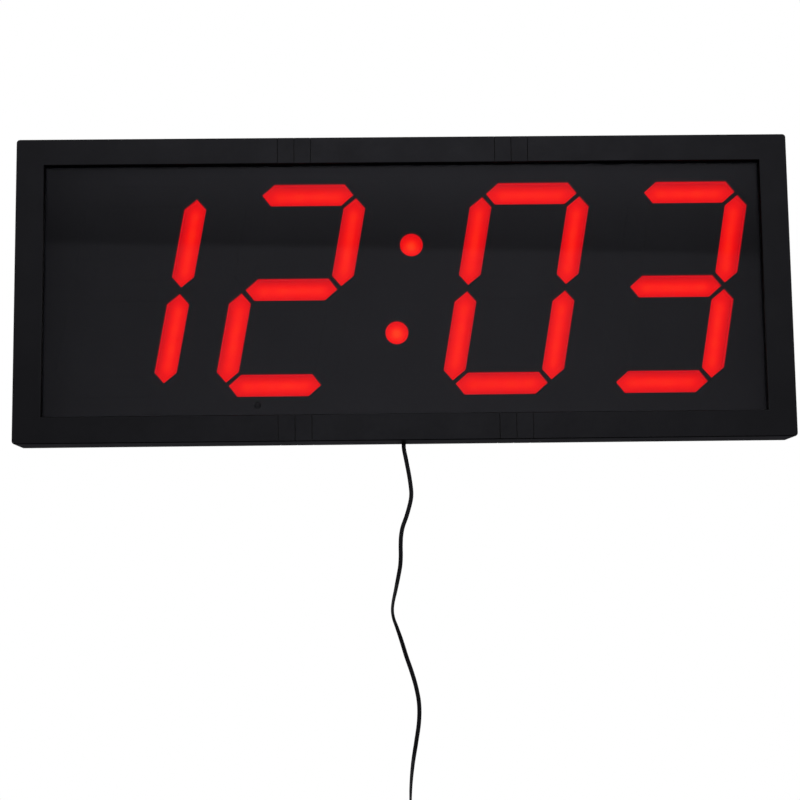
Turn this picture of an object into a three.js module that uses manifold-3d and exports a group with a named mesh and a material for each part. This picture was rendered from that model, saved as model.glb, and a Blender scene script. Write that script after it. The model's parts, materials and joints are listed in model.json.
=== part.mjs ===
// Wall-mounted digital timer: four large red seven-segment digits with a colon,
// in a black moulded frame with a dark window, fed by a thin flat lead and a plug-in adapter.
// Millimetres. +Z is up, +X is to the right of someone facing the timer, who looks along +Y.
// The origin is the centre of the back face, which lies flat against the wall.

import * as THREE from 'three';
import Module from 'manifold-3d';
import { mergeVertices } from 'three/addons/utils/BufferGeometryUtils.js';

const wasm = await Module();
wasm.setup();

// ---- casing ----
const CASE_WIDTH = 550;
const CASE_HEIGHT = 218;
const CASE_DEPTH = 30;
const CASE_CORNER = 2.5;
const SIDE_RAIL = 20;
const END_RAIL = 19; // top and bottom rails
const WALL = 2.5;
const GAP = 0.3; // clearance between pieces that rest on each other
const MERGE = 0.1; // how far two solids that are joined run into each other
const PAST = 1; // how far a cut runs past the faces it opens

// ---- fine V grooves that cross the top and bottom rails in threes ----
const GROOVE_CENTRE_X = 77.6;
const GROOVE_SPACING = 11.8;
const GROOVE_DEPTH = 0.3; // and twice as wide

// ---- display: a leaning seven-segment digit ----
const DIGIT_X = [-193.7, -80.1, 80.1, 193.7];
const SEGMENT_WIDTH = 16;
const SEGMENT_POINT = 7.6; // length of each pointed end
const SEGMENT_TIP_CLEARANCE = 2.1; // from a tip to the centre line it points at
const DIGIT_SPAN_X = 69.8; // between the upright segments' centre lines
const DIGIT_SPAN_Z = 137; // between the top and bottom segments' centre lines
const LEAN = 0.175; // sideways shift per unit of height, a 10 degree slant
const COLON_Z = 31.7;
const COLON_RADIUS = 8.4;
const SEGMENT_NAMES = ['a', 'b', 'c', 'd', 'e', 'f', 'g'];
const LEDS_PER_SEGMENT = 4;
const LED = { size: 3, height: 0.8 };

// ---- layers behind the front rails, from the front to the back ----
const FRONT_Y = -CASE_DEPTH;
const LIP_DEPTH = 4;
const LIP_THICKNESS = 2;
const WINDOW = { width: 520, height: 190, thickness: 2, corner: 2 };
const MASK = { width: 516, height: 186, thickness: 1 };
const DIFFUSER_THICKNESS = 1.2;
const LIGHT_BOX_DEPTH = 6;
const LIGHT_BOX_MARGIN = 1.6; // beyond the segments' outer edges
const LED_BOARD = { width: 113, height: 207, thickness: 1.6 };
const COLON_MODULE = { width: 40, height: 92 };
const COLON_BOARD = { side: 23, bottom: -50, top: 60, tabTop: 103.5, tabLeft: -20, tabRight: -5 };
const WINDOW_Y = FRONT_Y + LIP_DEPTH + GAP;
const MASK_Y = WINDOW_Y + WINDOW.thickness + GAP;
const DIFFUSER_Y = MASK_Y + MASK.thickness + GAP;
const LIGHT_BOX_Y = DIFFUSER_Y + DIFFUSER_THICKNESS + GAP;
const LED_BOARD_Y = LIGHT_BOX_Y + LIGHT_BOX_DEPTH + GAP;
const LED_BOARD_BACK_Y = LED_BOARD_Y + LED_BOARD.thickness;

// ---- fixings ----
const LED_SCREW_X = -40; // on each digit's board, from the digit's centre
const LED_PIN_X = 40;
const LED_FIXING_Z = 99.5;
const COLON_SCREW_X = -12;
const COVER_SCREWS = [
  [-266, 101], [12, 100.5], [266, 101],
  [-266, -101], [14, -100.5], [266, -101],
];
const BOARD_SCREW = { shank: 1.25, head: 2.6, headHeight: 1.3, length: 7 };
const CONTROL_SCREW_LENGTH = 6;
const COVER_SCREW = { shank: 1.5, head: 3.2, headHeight: 1.2, length: 10 };
const BOSS_RADIUS = 3.2;
const COVER_BOSS_RADIUS = 3.5;
const PIN_RADIUS = 1.4;
const PIN_BEYOND_BOARD = 1;
const SCREW_TIP = 1; // length of the tapered tip

// ---- rear cover ----
const COVER_THICKNESS = 2.5;
const COVER_Y = -COVER_THICKNESS;
const KEYHOLE = { x: 180, z: 60, radius: 4.5, slotWidth: 5, slotHeight: 10 };
const VENTS = { x: 130, z: -40, count: 8, pitch: 8, width: 2.6, height: 40 };

// ---- control board, on posts inside the rear cover ----
const CONTROL = { width: 140, height: 90, z: -30, thickness: 1.6 };
const CONTROL_BACK_Y = -9.3;
const CONTROL_Y = CONTROL_BACK_Y - CONTROL.thickness;
const CONTROL_POST_X = 62;
const CONTROL_POST_Z = 38;
const BUTTON_NAMES = ['mode', 'up', 'down'];
const BUTTON_X = [56, 38, 20];
const BUTTON_Z = -55;
const BUTTON_RADIUS = 4;
const BUTTON_FLANGE = 5;
const BUTTON_TRAVEL = 0.8;
const BUZZER = { x: 0, z: -12, radius: 6, height: 5 };
const DOOR = { x: -38, z: -15, width: 32, height: 28, thickness: 2 };
const DOOR_RECESS = { width: 10, height: 3, depth: 0.8, fromEdge: 3 };
const CELL = { radius: 10, height: 3.2 };
const HOLDER = { width: 25, height: 24, depth: 4.6, floor: 1 };
const COMPARTMENT_WALL = 2;
const CHIP = { x: 32, z: -12, size: 14, height: 2 };
const LEAD_SOCKET = { z: -68, width: 9, height: 8, depth: 5 };
const SWITCH = { size: 6, height: 3.2, stemRadius: 1.6, stemHeight: 0.7 };
const RIBBON = { width: 12, thickness: 0.8, jumperZ: 60, lift: 2 };

// ---- infrared receiver, seen through a hole in the mask ----
const RECEIVER = { x: -104.6, z: -82.4, width: 6, height: 5.6, lensRadius: 2.4, holeRadius: 3 };

// ---- lead and adapter ----
const CORD_WIDTH = 3;
const CORD_SIDES = 8;
const CORD_STEPS = 44;
const INNER_LEAD_STEPS = 12;
const CORD_X = -1.6;
const CORD_Y = -15;
const GROMMET_RADIUS = 4;
const GROMMET_FLANGE = 5.4;
const GROMMET_HEIGHT = 4.8;
const CASE_BOTTOM = -CASE_HEIGHT / 2;
const COIL_ROWS = 3; // turns across the ring's radius
const COIL_LAYERS = 4; // turns along the ring's axis
const COIL_MEAN_RADIUS = 16.5;
const COIL_Z = -389;
const COIL_OUTER_TURN = COIL_MEAN_RADIUS + (COIL_ROWS - 1) * CORD_WIDTH / 2;
const COIL_X = COIL_OUTER_TURN; // the lead comes straight down at x = 0
const BOOT = { belowCoil: 26, length: 22, topRadius: 2.2, bottomRadius: 4.4 };
const ADAPTER = { width: 44, depth: 26, height: 50, corner: 4 };
const PRONG = { width: 6.3, thickness: 1.5, length: 16, spacing: 12.7 };
const TIE = { thickness: 0.9, clearance: 0.4, width: 3.4 };

// The hanging stretch, from the casing's underside to the coil: [x, z] at depth CORD_Y.
const CORD_ROUTE = [
  [-1.6, -109.3], [-1.4, -114], [0.1, -122], [1.9, -132], [3.1, -141], [3.3, -147],
  [2.2, -153], [-0.3, -161.5], [-2.9, -168.5], [-4.2, -175], [-4.6, -182], [-4.6, -189],
  [-5.1, -196], [-6.5, -203.5], [-8.5, -213], [-10.3, -221], [-10.9, -227], [-10.1, -232.5],
  [-7.8, -239], [-4.8, -248], [-1.5, -259], [2.2, -270], [5.2, -281], [6.9, -292],
  [6.6, -304], [4.6, -317], [2.2, -331], [0.6, -345], [0, -358], [0, -377.2],
];

// ---- materials ----
const plastic = (name, colour, roughness) =>
  new THREE.MeshStandardMaterial({ name, color: colour, roughness, metalness: 0 });
const metal = (name, colour, roughness) =>
  new THREE.MeshStandardMaterial({ name, color: colour, roughness, metalness: 1 });
const FRAME_BLACK = plastic('frame_black', 0x1b1b1d, 0.5);
const COVER_BLACK = plastic('cover_black', 0x171718, 0.65);
const WINDOW_TINT = plastic('window_tint', 0x141416, 0.08);
const MASK_BLACK = plastic('mask_black', 0x0a0a0b, 0.8);
const DIFFUSER_RED = plastic('diffuser_red', 0xe8202a, 0.4);
const LIGHT_BOX_WHITE = plastic('light_box_white', 0xe9e9e6, 0.6);
const BOARD_GREEN = plastic('board_green', 0x1f5a34, 0.45);
const CHIP_BLACK = plastic('chip_black', 0x141414, 0.5);
const SOCKET_WHITE = plastic('socket_white', 0xe6e1d2, 0.5);
const RIBBON_GREY = plastic('ribbon_grey', 0x8d9096, 0.6);
const BUTTON_GREY = plastic('button_grey', 0x3a3a3d, 0.55);
const RUBBER_BLACK = plastic('rubber_black', 0x121212, 0.75);
const CORD_BLACK = plastic('cord_black', 0x111112, 0.55);
const SCREW_STEEL = metal('screw_steel', 0x9b9ea2, 0.35);
const CELL_STEEL = metal('cell_steel', 0xc9cbcd, 0.25);
const PRONG_NICKEL = metal('prong_nickel', 0xc8c4b8, 0.3);

// ---- solids ----
function solidOf(geometry) {
  const bare = geometry.clone();
  bare.deleteAttribute('normal');
  bare.deleteAttribute('uv');
  const merged = mergeVertices(bare);
  return new wasm.Manifold(new wasm.Mesh({
    numProp: 3,
    vertProperties: new Float32Array(merged.attributes.position.array),
    triVerts: new Uint32Array(merged.index.array),
  }));
}

function geometryOf(solid) {
  const mesh = solid.getMesh();
  const geometry = new THREE.BufferGeometry();
  geometry.setAttribute('position', new THREE.BufferAttribute(mesh.vertProperties, mesh.numProp));
  geometry.setIndex(new THREE.BufferAttribute(mesh.triVerts, 1));
  return geometry;
}

function join(geometries) {
  return geometryOf(geometries.map(solidOf).reduce((sum, next) => sum.add(next)));
}

function cut(base, tools) {
  return geometryOf(tools.map(solidOf).reduce((rest, tool) => rest.subtract(tool), solidOf(base)));
}

// ---- basic forms, each placed by its position in the casing ----
function rectangle(width, height, radius = 0, x = 0, z = 0) {
  const shape = new THREE.Shape();
  const [halfWidth, halfHeight] = [width / 2, height / 2];
  if (radius === 0) {
    shape.moveTo(x - halfWidth, z - halfHeight);
    shape.lineTo(x + halfWidth, z - halfHeight);
    shape.lineTo(x + halfWidth, z + halfHeight);
    shape.lineTo(x - halfWidth, z + halfHeight);
    shape.closePath();
    return shape;
  }
  const corners = [[1, -1, -90], [1, 1, 0], [-1, 1, 90], [-1, -1, 180]];
  for (const [sideX, sideZ, start] of corners) {
    const cornerX = x + sideX * (halfWidth - radius);
    const cornerZ = z + sideZ * (halfHeight - radius);
    const from = THREE.MathUtils.degToRad(start);
    shape.absarc(cornerX, cornerZ, radius, from, from + Math.PI / 2, false);
  }
  shape.closePath();
  return shape;
}

function circle(radius, x, z) {
  const shape = new THREE.Shape();
  shape.absarc(x, z, radius, 0, 2 * Math.PI, false);
  return shape;
}

function polygon(points) {
  return new THREE.Shape(points.map(([x, z]) => new THREE.Vector2(x, z)));
}

// A flat piece: an outline seen from the front, between two depths.
function plate(outline, yFront, yBack, holes = [], curveSegments = 4) {
  const shape = outline.clone();
  shape.holes.push(...holes);
  const depth = yBack - yFront;
  const geometry = new THREE.ExtrudeGeometry(shape, { depth, bevelEnabled: false, curveSegments });
  geometry.rotateX(Math.PI / 2);
  geometry.translate(0, yBack, 0);
  return geometry;
}

function block(x, yFront, yBack, z, width, height) {
  const geometry = new THREE.BoxGeometry(width, yBack - yFront, height);
  geometry.translate(x, (yFront + yBack) / 2, z);
  return geometry;
}

function rod(radius, yFront, yBack, x, z, sides = 12) {
  const geometry = new THREE.CylinderGeometry(radius, radius, yBack - yFront, sides);
  geometry.translate(x, (yFront + yBack) / 2, z);
  return geometry;
}

// A turned piece about a line parallel to Y or, when upright, to Z. Profile: [radius, distance].
function turned(profile, sides, upright = false) {
  const points = profile.map(([radius, along]) => new THREE.Vector2(radius, along));
  const geometry = new THREE.LatheGeometry(points, sides);
  if (upright) geometry.rotateX(Math.PI / 2);
  return geometry;
}

const timer = new THREE.Group();

function add(name, geometry, material, x = 0, y = 0, z = 0) {
  const mesh = new THREE.Mesh(geometry, material);
  mesh.name = name;
  mesh.position.set(x, y, z);
  timer.add(mesh);
}

// ---- seven-segment outlines ----
function segmentPlace(name) {
  const right = DIGIT_SPAN_X / 2;
  const top = DIGIT_SPAN_Z / 2;
  const places = {
    a: [0, top, false],
    b: [right, top / 2, true],
    c: [right, -top / 2, true],
    d: [0, -top, false],
    e: [-right, -top / 2, true],
    f: [-right, top / 2, true],
    g: [0, 0, false],
  };
  return places[name];
}

function leaning([x, z]) {
  return [x + LEAN * z, z];
}

// A six-sided bar with pointed ends, drawn inside its true outline by `inset`.
function segmentOutline(name, digitX, inset = 0) {
  const [centreX, centreZ, upright] = segmentPlace(name);
  const halfWidth = SEGMENT_WIDTH / 2 - inset;
  const span = upright ? DIGIT_SPAN_Z / 2 : DIGIT_SPAN_X;
  const tipShift = inset * Math.hypot(SEGMENT_POINT, SEGMENT_WIDTH / 2) / (SEGMENT_WIDTH / 2);
  const tip = span / 2 - SEGMENT_TIP_CLEARANCE - tipShift;
  const shoulder = tip - SEGMENT_POINT * halfWidth / (SEGMENT_WIDTH / 2);
  const along = [-tip, -shoulder, shoulder, tip, shoulder, -shoulder];
  const across = [0, -halfWidth, -halfWidth, 0, halfWidth, halfWidth];
  const points = along.map((distance, i) => {
    const flat = upright
      ? [centreX - across[i], centreZ + distance]
      : [centreX + distance, centreZ + across[i]];
    const [x, z] = leaning(flat);
    return [x + digitX, z];
  });
  return polygon(points);
}

function digitOutlines(digitX, inset = 0) {
  return SEGMENT_NAMES.map((name) => segmentOutline(name, digitX, inset));
}

function colonOutlines(inset = 0) {
  return [COLON_Z, -COLON_Z].map((z) => circle(COLON_RADIUS - inset, LEAN * z, z));
}

// The leaning outline shared by a digit's diffuser and light box.
function moduleOutline(digitX) {
  const halfWidth = (DIGIT_SPAN_X + SEGMENT_WIDTH) / 2 + LIGHT_BOX_MARGIN;
  const halfHeight = (DIGIT_SPAN_Z + SEGMENT_WIDTH) / 2 + LIGHT_BOX_MARGIN;
  const corners = [[-1, -1], [1, -1], [1, 1], [-1, 1]];
  return polygon(corners.map(([sideX, sideZ]) => {
    const [x, z] = leaning([sideX * halfWidth, sideZ * halfHeight]);
    return [x + digitX, z];
  }));
}

// ---- front frame ----
// Each groove is cut by square bars turned corner down, one along the face and one over the edge.
function grooveCuts() {
  const cuts = [];
  for (const side of [-1, 1]) {
    for (const step of [-1, 0, 1]) {
      const x = side * (GROOVE_CENTRE_X + side * step * GROOVE_SPACING);
      const zTop = CASE_HEIGHT / 2;
      const zRail = zTop - END_RAIL;
      cuts.push(uprightRod(GROOVE_DEPTH, zRail - PAST, zTop + PAST, x, FRONT_Y, 4));
      cuts.push(uprightRod(GROOVE_DEPTH, -zTop - PAST, -zRail + PAST, x, FRONT_Y, 4));
      cuts.push(rod(GROOVE_DEPTH, FRONT_Y - PAST, PAST, x, zTop, 4));
      cuts.push(rod(GROOVE_DEPTH, FRONT_Y - PAST, PAST, x, -zTop, 4));
    }
  }
  return cuts;
}

function ledScrewPlaces() {
  const digits = DIGIT_X.map((x) => [x + LED_SCREW_X, LED_FIXING_Z]);
  return [...digits, [COLON_SCREW_X, LED_FIXING_Z]];
}

function ledPinPlaces() {
  return DIGIT_X.map((x) => [x + LED_PIN_X, -LED_FIXING_Z]);
}

function frontFrame() {
  const outer = rectangle(CASE_WIDTH, CASE_HEIGHT, CASE_CORNER);
  const inner = rectangle(CASE_WIDTH - 2 * WALL, CASE_HEIGHT - 2 * WALL, 1);
  const openingWidth = CASE_WIDTH - 2 * SIDE_RAIL;
  const openingHeight = CASE_HEIGHT - 2 * END_RAIL;
  const opening = rectangle(openingWidth, openingHeight);
  const lip = rectangle(openingWidth + 2 * LIP_THICKNESS, openingHeight + 2 * LIP_THICKNESS);
  const inside = FRONT_Y + WALL - MERGE;
  const pieces = [
    plate(outer, FRONT_Y, FRONT_Y + WALL, [opening]),
    plate(outer, FRONT_Y, 0, [inner]),
    plate(lip, FRONT_Y, FRONT_Y + LIP_DEPTH, [opening]),
  ];
  const boardRest = LED_BOARD_Y - GAP;
  for (const [x, z] of [...ledScrewPlaces(), ...ledPinPlaces()]) {
    pieces.push(rod(BOSS_RADIUS, inside, boardRest, x, z));
  }
  for (const [x, z] of ledPinPlaces()) {
    pieces.push(rod(PIN_RADIUS, boardRest - MERGE, LED_BOARD_BACK_Y + PIN_BEYOND_BOARD, x, z));
  }
  for (const [x, z] of COVER_SCREWS) {
    pieces.push(rod(COVER_BOSS_RADIUS, inside, COVER_Y - GAP, x, z));
  }
  const boardPilot = LED_BOARD_BACK_Y - BOARD_SCREW.length;
  const coverPilot = -COVER_SCREW.length - COVER_SCREW.headHeight;
  const cuts = [
    ...grooveCuts(),
    ...ledScrewPlaces().map(([x, z]) =>
      rod(BOARD_SCREW.shank + GAP, boardPilot - GAP, 0, x, z)),
    ...COVER_SCREWS.map(([x, z]) =>
      rod(COVER_SCREW.shank + GAP, coverPilot - 2 * GAP, 0, x, z)),
    grommetHole(),
  ];
  return cut(join(pieces), cuts);
}

// ---- display layers ----
function segmentMask() {
  const holes = [
    ...DIGIT_X.flatMap((x) => digitOutlines(x)),
    ...colonOutlines(),
    circle(RECEIVER.holeRadius, RECEIVER.x, RECEIVER.z),
  ];
  return plate(rectangle(MASK.width, MASK.height), MASK_Y, MASK_Y + MASK.thickness, holes, 10);
}

// A milky plate with raised bars that fill the mask's openings.
function diffuser(outline, bars) {
  const back = DIFFUSER_Y + DIFFUSER_THICKNESS;
  const raised = bars.map((bar) => plate(bar, MASK_Y, DIFFUSER_Y + MERGE, [], 10));
  return join([plate(outline, DIFFUSER_Y, back), ...raised]);
}

function lightBox(outline, cavities) {
  return plate(outline, LIGHT_BOX_Y, LIGHT_BOX_Y + LIGHT_BOX_DEPTH, cavities, 10);
}

function ledBlock(x, z) {
  return block(x, LED_BOARD_Y - LED.height, LED_BOARD_Y + MERGE, z, LED.size, LED.size);
}

function digitLeds(digitX) {
  const leds = [];
  for (const name of SEGMENT_NAMES) {
    const [centreX, centreZ, upright] = segmentPlace(name);
    const pitch = (upright ? DIGIT_SPAN_Z / 2 : DIGIT_SPAN_X) / (LEDS_PER_SEGMENT + 1);
    for (let i = 0; i < LEDS_PER_SEGMENT; i += 1) {
      const along = (i - (LEDS_PER_SEGMENT - 1) / 2) * pitch;
      const flat = upright ? [centreX, centreZ + along] : [centreX + along, centreZ];
      const [x, z] = leaning(flat);
      leds.push(ledBlock(x + digitX, z));
    }
  }
  return leds;
}

function digitLedBoard(digitX) {
  const holes = [
    circle(BOARD_SCREW.shank + GAP, digitX + LED_SCREW_X, LED_FIXING_Z),
    circle(PIN_RADIUS + GAP, digitX + LED_PIN_X, -LED_FIXING_Z),
  ];
  const outline = rectangle(LED_BOARD.width, LED_BOARD.height, 0, digitX, 0);
  return join([plate(outline, LED_BOARD_Y, LED_BOARD_BACK_Y, holes), ...digitLeds(digitX)]);
}

// The colon's board reaches up to its screw with a narrow tab.
function colonLedBoard() {
  const { side, bottom, top, tabTop, tabLeft, tabRight } = COLON_BOARD;
  const outline = polygon([
    [-side, bottom], [side, bottom], [side, top], [tabRight, top],
    [tabRight, tabTop], [tabLeft, tabTop], [tabLeft, top], [-side, top],
  ]);
  const hole = circle(BOARD_SCREW.shank + GAP, COLON_SCREW_X, LED_FIXING_Z);
  const leds = [COLON_Z, -COLON_Z].map((z) => ledBlock(LEAN * z, z));
  return join([plate(outline, LED_BOARD_Y, LED_BOARD_BACK_Y, [hole]), ...leds]);
}

function addDisplay() {
  const pane = rectangle(WINDOW.width, WINDOW.height, WINDOW.corner);
  add('window_panel', plate(pane, WINDOW_Y, WINDOW_Y + WINDOW.thickness), WINDOW_TINT);
  add('segment_mask', segmentMask(), MASK_BLACK);
  DIGIT_X.forEach((x, index) => {
    const name = `digit_${index + 1}`;
    add(`${name}_diffuser`, diffuser(moduleOutline(x), digitOutlines(x, GAP)), DIFFUSER_RED);
    add(`${name}_light_box`, lightBox(moduleOutline(x), digitOutlines(x)), LIGHT_BOX_WHITE);
    add(`${name}_led_board`, digitLedBoard(x), BOARD_GREEN);
  });
  const colonOutline = rectangle(COLON_MODULE.width, COLON_MODULE.height);
  add('colon_diffuser', diffuser(colonOutline, colonOutlines(GAP)), DIFFUSER_RED);
  add('colon_light_box', lightBox(colonOutline, colonOutlines()), LIGHT_BOX_WHITE);
  add('colon_led_board', colonLedBoard(), BOARD_GREEN);
  ledScrewPlaces().forEach(([x, z], index) => {
    add(`led_board_screw_${index + 1}`, screw(BOARD_SCREW), SCREW_STEEL,
      x, LED_BOARD_BACK_Y + GAP, z);
  });
  add('ir_receiver', irReceiver(), CHIP_BLACK);
}

// A moulded block with a domed lens that looks out through the mask.
function irReceiver() {
  const bodyFront = LIGHT_BOX_Y + GAP;
  const body = block(RECEIVER.x, bodyFront, LED_BOARD_Y - GAP, RECEIVER.z,
    RECEIVER.width, RECEIVER.height);
  const lensLength = bodyFront - MASK_Y;
  const dome = turned([
    [0, -lensLength], [RECEIVER.lensRadius * 0.7, -lensLength * 0.85],
    [RECEIVER.lensRadius, -lensLength * 0.5], [RECEIVER.lensRadius, MERGE], [0, MERGE],
  ], 12);
  dome.translate(RECEIVER.x, bodyFront, RECEIVER.z);
  return join([body, dome]);
}

// A pan-head screw driven towards the front; its origin is under the head.
function screw({ shank, head, headHeight, length }) {
  return turned([
    [0, -length], [shank * 0.5, -length], [shank, -length + SCREW_TIP], [shank, 0],
    [head, 0], [head, headHeight * 0.5], [head * 0.7, headHeight], [0, headHeight],
  ], 12);
}

// ---- rear cover ----
function keyholeCuts() {
  return [-KEYHOLE.x, KEYHOLE.x].flatMap((x) => [
    rod(KEYHOLE.radius, COVER_Y - PAST, PAST, x, KEYHOLE.z, 16),
    block(x, COVER_Y - PAST, PAST, KEYHOLE.z + KEYHOLE.slotHeight / 2,
      KEYHOLE.slotWidth, KEYHOLE.slotHeight),
  ]);
}

function ventCuts() {
  const cuts = [];
  for (const side of [-1, 1]) {
    for (let i = 0; i < VENTS.count; i += 1) {
      const x = side * VENTS.x + (i - (VENTS.count - 1) / 2) * VENTS.pitch;
      cuts.push(block(x, COVER_Y - PAST, PAST, VENTS.z, VENTS.width, VENTS.height));
    }
  }
  return cuts;
}

function buzzerHoleCuts() {
  const holeRadius = 1.1;
  const ringRadius = 3.6;
  const holesInRing = 6;
  const cuts = [rod(holeRadius, COVER_Y - PAST, PAST, BUZZER.x, BUZZER.z, 8)];
  for (let i = 0; i < holesInRing; i += 1) {
    const angle = i * 2 * Math.PI / holesInRing;
    const x = BUZZER.x + ringRadius * Math.cos(angle);
    const z = BUZZER.z + ringRadius * Math.sin(angle);
    cuts.push(rod(holeRadius, COVER_Y - PAST, PAST, x, z, 8));
  }
  return cuts;
}

function controlPostPlaces() {
  return [[-1, 1], [1, -1], [1, 1], [-1, -1]].map(([sideX, sideZ]) =>
    [sideX * CONTROL_POST_X, CONTROL.z + sideZ * CONTROL_POST_Z]);
}

function screwedPostPlaces() {
  return controlPostPlaces().slice(0, 2);
}

function rearCover() {
  const width = CASE_WIDTH - 2 * (WALL + GAP);
  const height = CASE_HEIGHT - 2 * (WALL + GAP);
  const doorOpening = rectangle(DOOR.width, DOOR.height, 0, DOOR.x, DOOR.z);
  const ledge = 1; // the door rests on the compartment's wall all round
  const insideCover = COVER_Y + MERGE;
  const compartment = plate(
    rectangle(DOOR.width + 2 * COMPARTMENT_WALL, DOOR.height + 2 * COMPARTMENT_WALL,
      0, DOOR.x, DOOR.z),
    CONTROL_BACK_Y + GAP, insideCover,
    [rectangle(DOOR.width - 2 * ledge, DOOR.height - 2 * ledge, 0, DOOR.x, DOOR.z)],
  );
  const posts = controlPostPlaces().map(([x, z]) =>
    rod(BOSS_RADIUS, CONTROL_BACK_Y + GAP, insideCover, x, z));
  const headRecess = COVER_SCREW.headHeight + GAP;
  const cuts = [
    ...keyholeCuts(),
    ...ventCuts(),
    ...buzzerHoleCuts(),
    ...BUTTON_X.map((x) => rod(BUTTON_RADIUS + GAP, COVER_Y - PAST, PAST, x, BUTTON_Z, 16)),
    ...COVER_SCREWS.flatMap(([x, z]) => [
      rod(COVER_SCREW.shank + GAP, COVER_Y - PAST, PAST, x, z),
      rod(COVER_SCREW.head + GAP, -headRecess, PAST, x, z),
    ]),
    ...screwedPostPlaces().map(([x, z]) =>
      rod(BOARD_SCREW.shank + GAP, CONTROL_BACK_Y, CONTROL_Y + BOARD_SCREW.length + GAP, x, z)),
  ];
  const panel = plate(rectangle(width, height, 1), COVER_Y, 0, [doorOpening]);
  return cut(join([panel, compartment, ...posts]), cuts);
}

// A flat lid with a fingernail recess near its upper edge.
function batteryDoor() {
  const width = DOOR.width - 2 * GAP;
  const height = DOOR.height - 2 * GAP;
  const lid = block(DOOR.x, -DOOR.thickness, 0, DOOR.z, width, height);
  const recessZ = DOOR.z + height / 2 - DOOR_RECESS.fromEdge;
  const recess = block(DOOR.x, -DOOR_RECESS.depth, PAST, recessZ,
    DOOR_RECESS.width, DOOR_RECESS.height);
  return cut(lid, [recess]);
}

// A cap with a retaining flange inside the cover and a stem towards its switch.
function buttonCap() {
  const flangeY = COVER_Y - GAP;
  const flangeThickness = 1;
  const stemRadius = 2;
  const stemEnd = CONTROL_BACK_Y + GAP + SWITCH.height + BUTTON_TRAVEL + GAP;
  const top = -0.1; // just below the cover's face
  const chamfer = 0.5;
  return turned([
    [0, stemEnd], [stemRadius, stemEnd], [stemRadius, flangeY - flangeThickness],
    [BUTTON_FLANGE, flangeY - flangeThickness], [BUTTON_FLANGE, flangeY],
    [BUTTON_RADIUS, flangeY], [BUTTON_RADIUS, top - chamfer],
    [BUTTON_RADIUS - chamfer, top], [0, top],
  ], 16);
}

// ---- control board and its components ----
function controlBoard() {
  const holes = screwedPostPlaces().map(([x, z]) => circle(BOARD_SCREW.shank + GAP, x, z));
  const outline = rectangle(CONTROL.width, CONTROL.height, 0, 0, CONTROL.z);
  return plate(outline, CONTROL_Y, CONTROL_BACK_Y, holes);
}

function tactSwitch() {
  const base = CONTROL_BACK_Y + GAP;
  const bodyTop = base + SWITCH.height - SWITCH.stemHeight;
  const body = block(0, base, bodyTop, 0, SWITCH.size, SWITCH.size);
  return join([body, rod(SWITCH.stemRadius, bodyTop - MERGE, base + SWITCH.height, 0, 0)]);
}

// A shallow open tray that holds the cell by its rim.
function batteryHolder() {
  const base = CONTROL_BACK_Y + GAP;
  const rim = base + HOLDER.depth;
  const tray = block(DOOR.x, base, rim, DOOR.z, HOLDER.width, HOLDER.height);
  const pocket = rod(CELL.radius + GAP, base + HOLDER.floor, rim + PAST, DOOR.x, DOOR.z, 24);
  return cut(tray, [pocket]);
}

function buzzerCan() {
  const base = CONTROL_BACK_Y + GAP;
  const lid = base + BUZZER.height;
  const can = rod(BUZZER.radius, base, lid, BUZZER.x, BUZZER.z, 20);
  const holeRadius = 1;
  const holeDepth = 1;
  return cut(can, [rod(holeRadius, lid - holeDepth, lid + PAST, BUZZER.x, BUZZER.z, 8)]);
}

// A flat strip of cable whose edge view follows the given [x, y] points.
function ribbon(points, z) {
  const lower = points.map(([x, y]) => new THREE.Vector2(x, y));
  const upper = points.map(([x, y]) => new THREE.Vector2(x, y + RIBBON.thickness)).reverse();
  const shape = new THREE.Shape([...lower, ...upper]);
  const geometry = new THREE.ExtrudeGeometry(shape, { depth: RIBBON.width, bevelEnabled: false });
  geometry.translate(0, 0, z - RIBBON.width / 2);
  return geometry;
}

// Arches over the joint between two digit boards, from pad to pad.
function jumperRoute(middleX) {
  const onBoard = LED_BOARD_BACK_Y + GAP;
  const [end, foot, shoulder] = [24, 14, 8];
  const offsets = [
    [-end, 0], [-foot, 0], [-shoulder, RIBBON.lift], [shoulder, RIBBON.lift], [foot, 0], [end, 0],
  ];
  return offsets.map(([x, lift]) => [middleX + x, onBoard + lift]);
}

// Runs off the control board's end and steps down to the digit board in front of it.
function feedRoute() {
  const onBoard = LED_BOARD_BACK_Y + GAP;
  const onControl = CONTROL_BACK_Y + GAP;
  return [
    [60, onControl], [69, onControl], [74, onControl - 0.6], [80, onBoard + 0.4], [86, onBoard],
    [98, onBoard],
  ];
}

function addRibbons() {
  const middleX = (DIGIT_X[2] + DIGIT_X[3]) / 2;
  const mirrored = feedRoute().map(([x, y]) => [-x, y]).reverse();
  add('ribbon_1_to_2', ribbon(jumperRoute(-middleX), RIBBON.jumperZ), RIBBON_GREY);
  add('ribbon_3_to_4', ribbon(jumperRoute(middleX), RIBBON.jumperZ), RIBBON_GREY);
  add('ribbon_to_digit_2', ribbon(mirrored, CONTROL.z), RIBBON_GREY);
  add('ribbon_to_digit_3', ribbon(feedRoute(), CONTROL.z), RIBBON_GREY);
}

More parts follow.
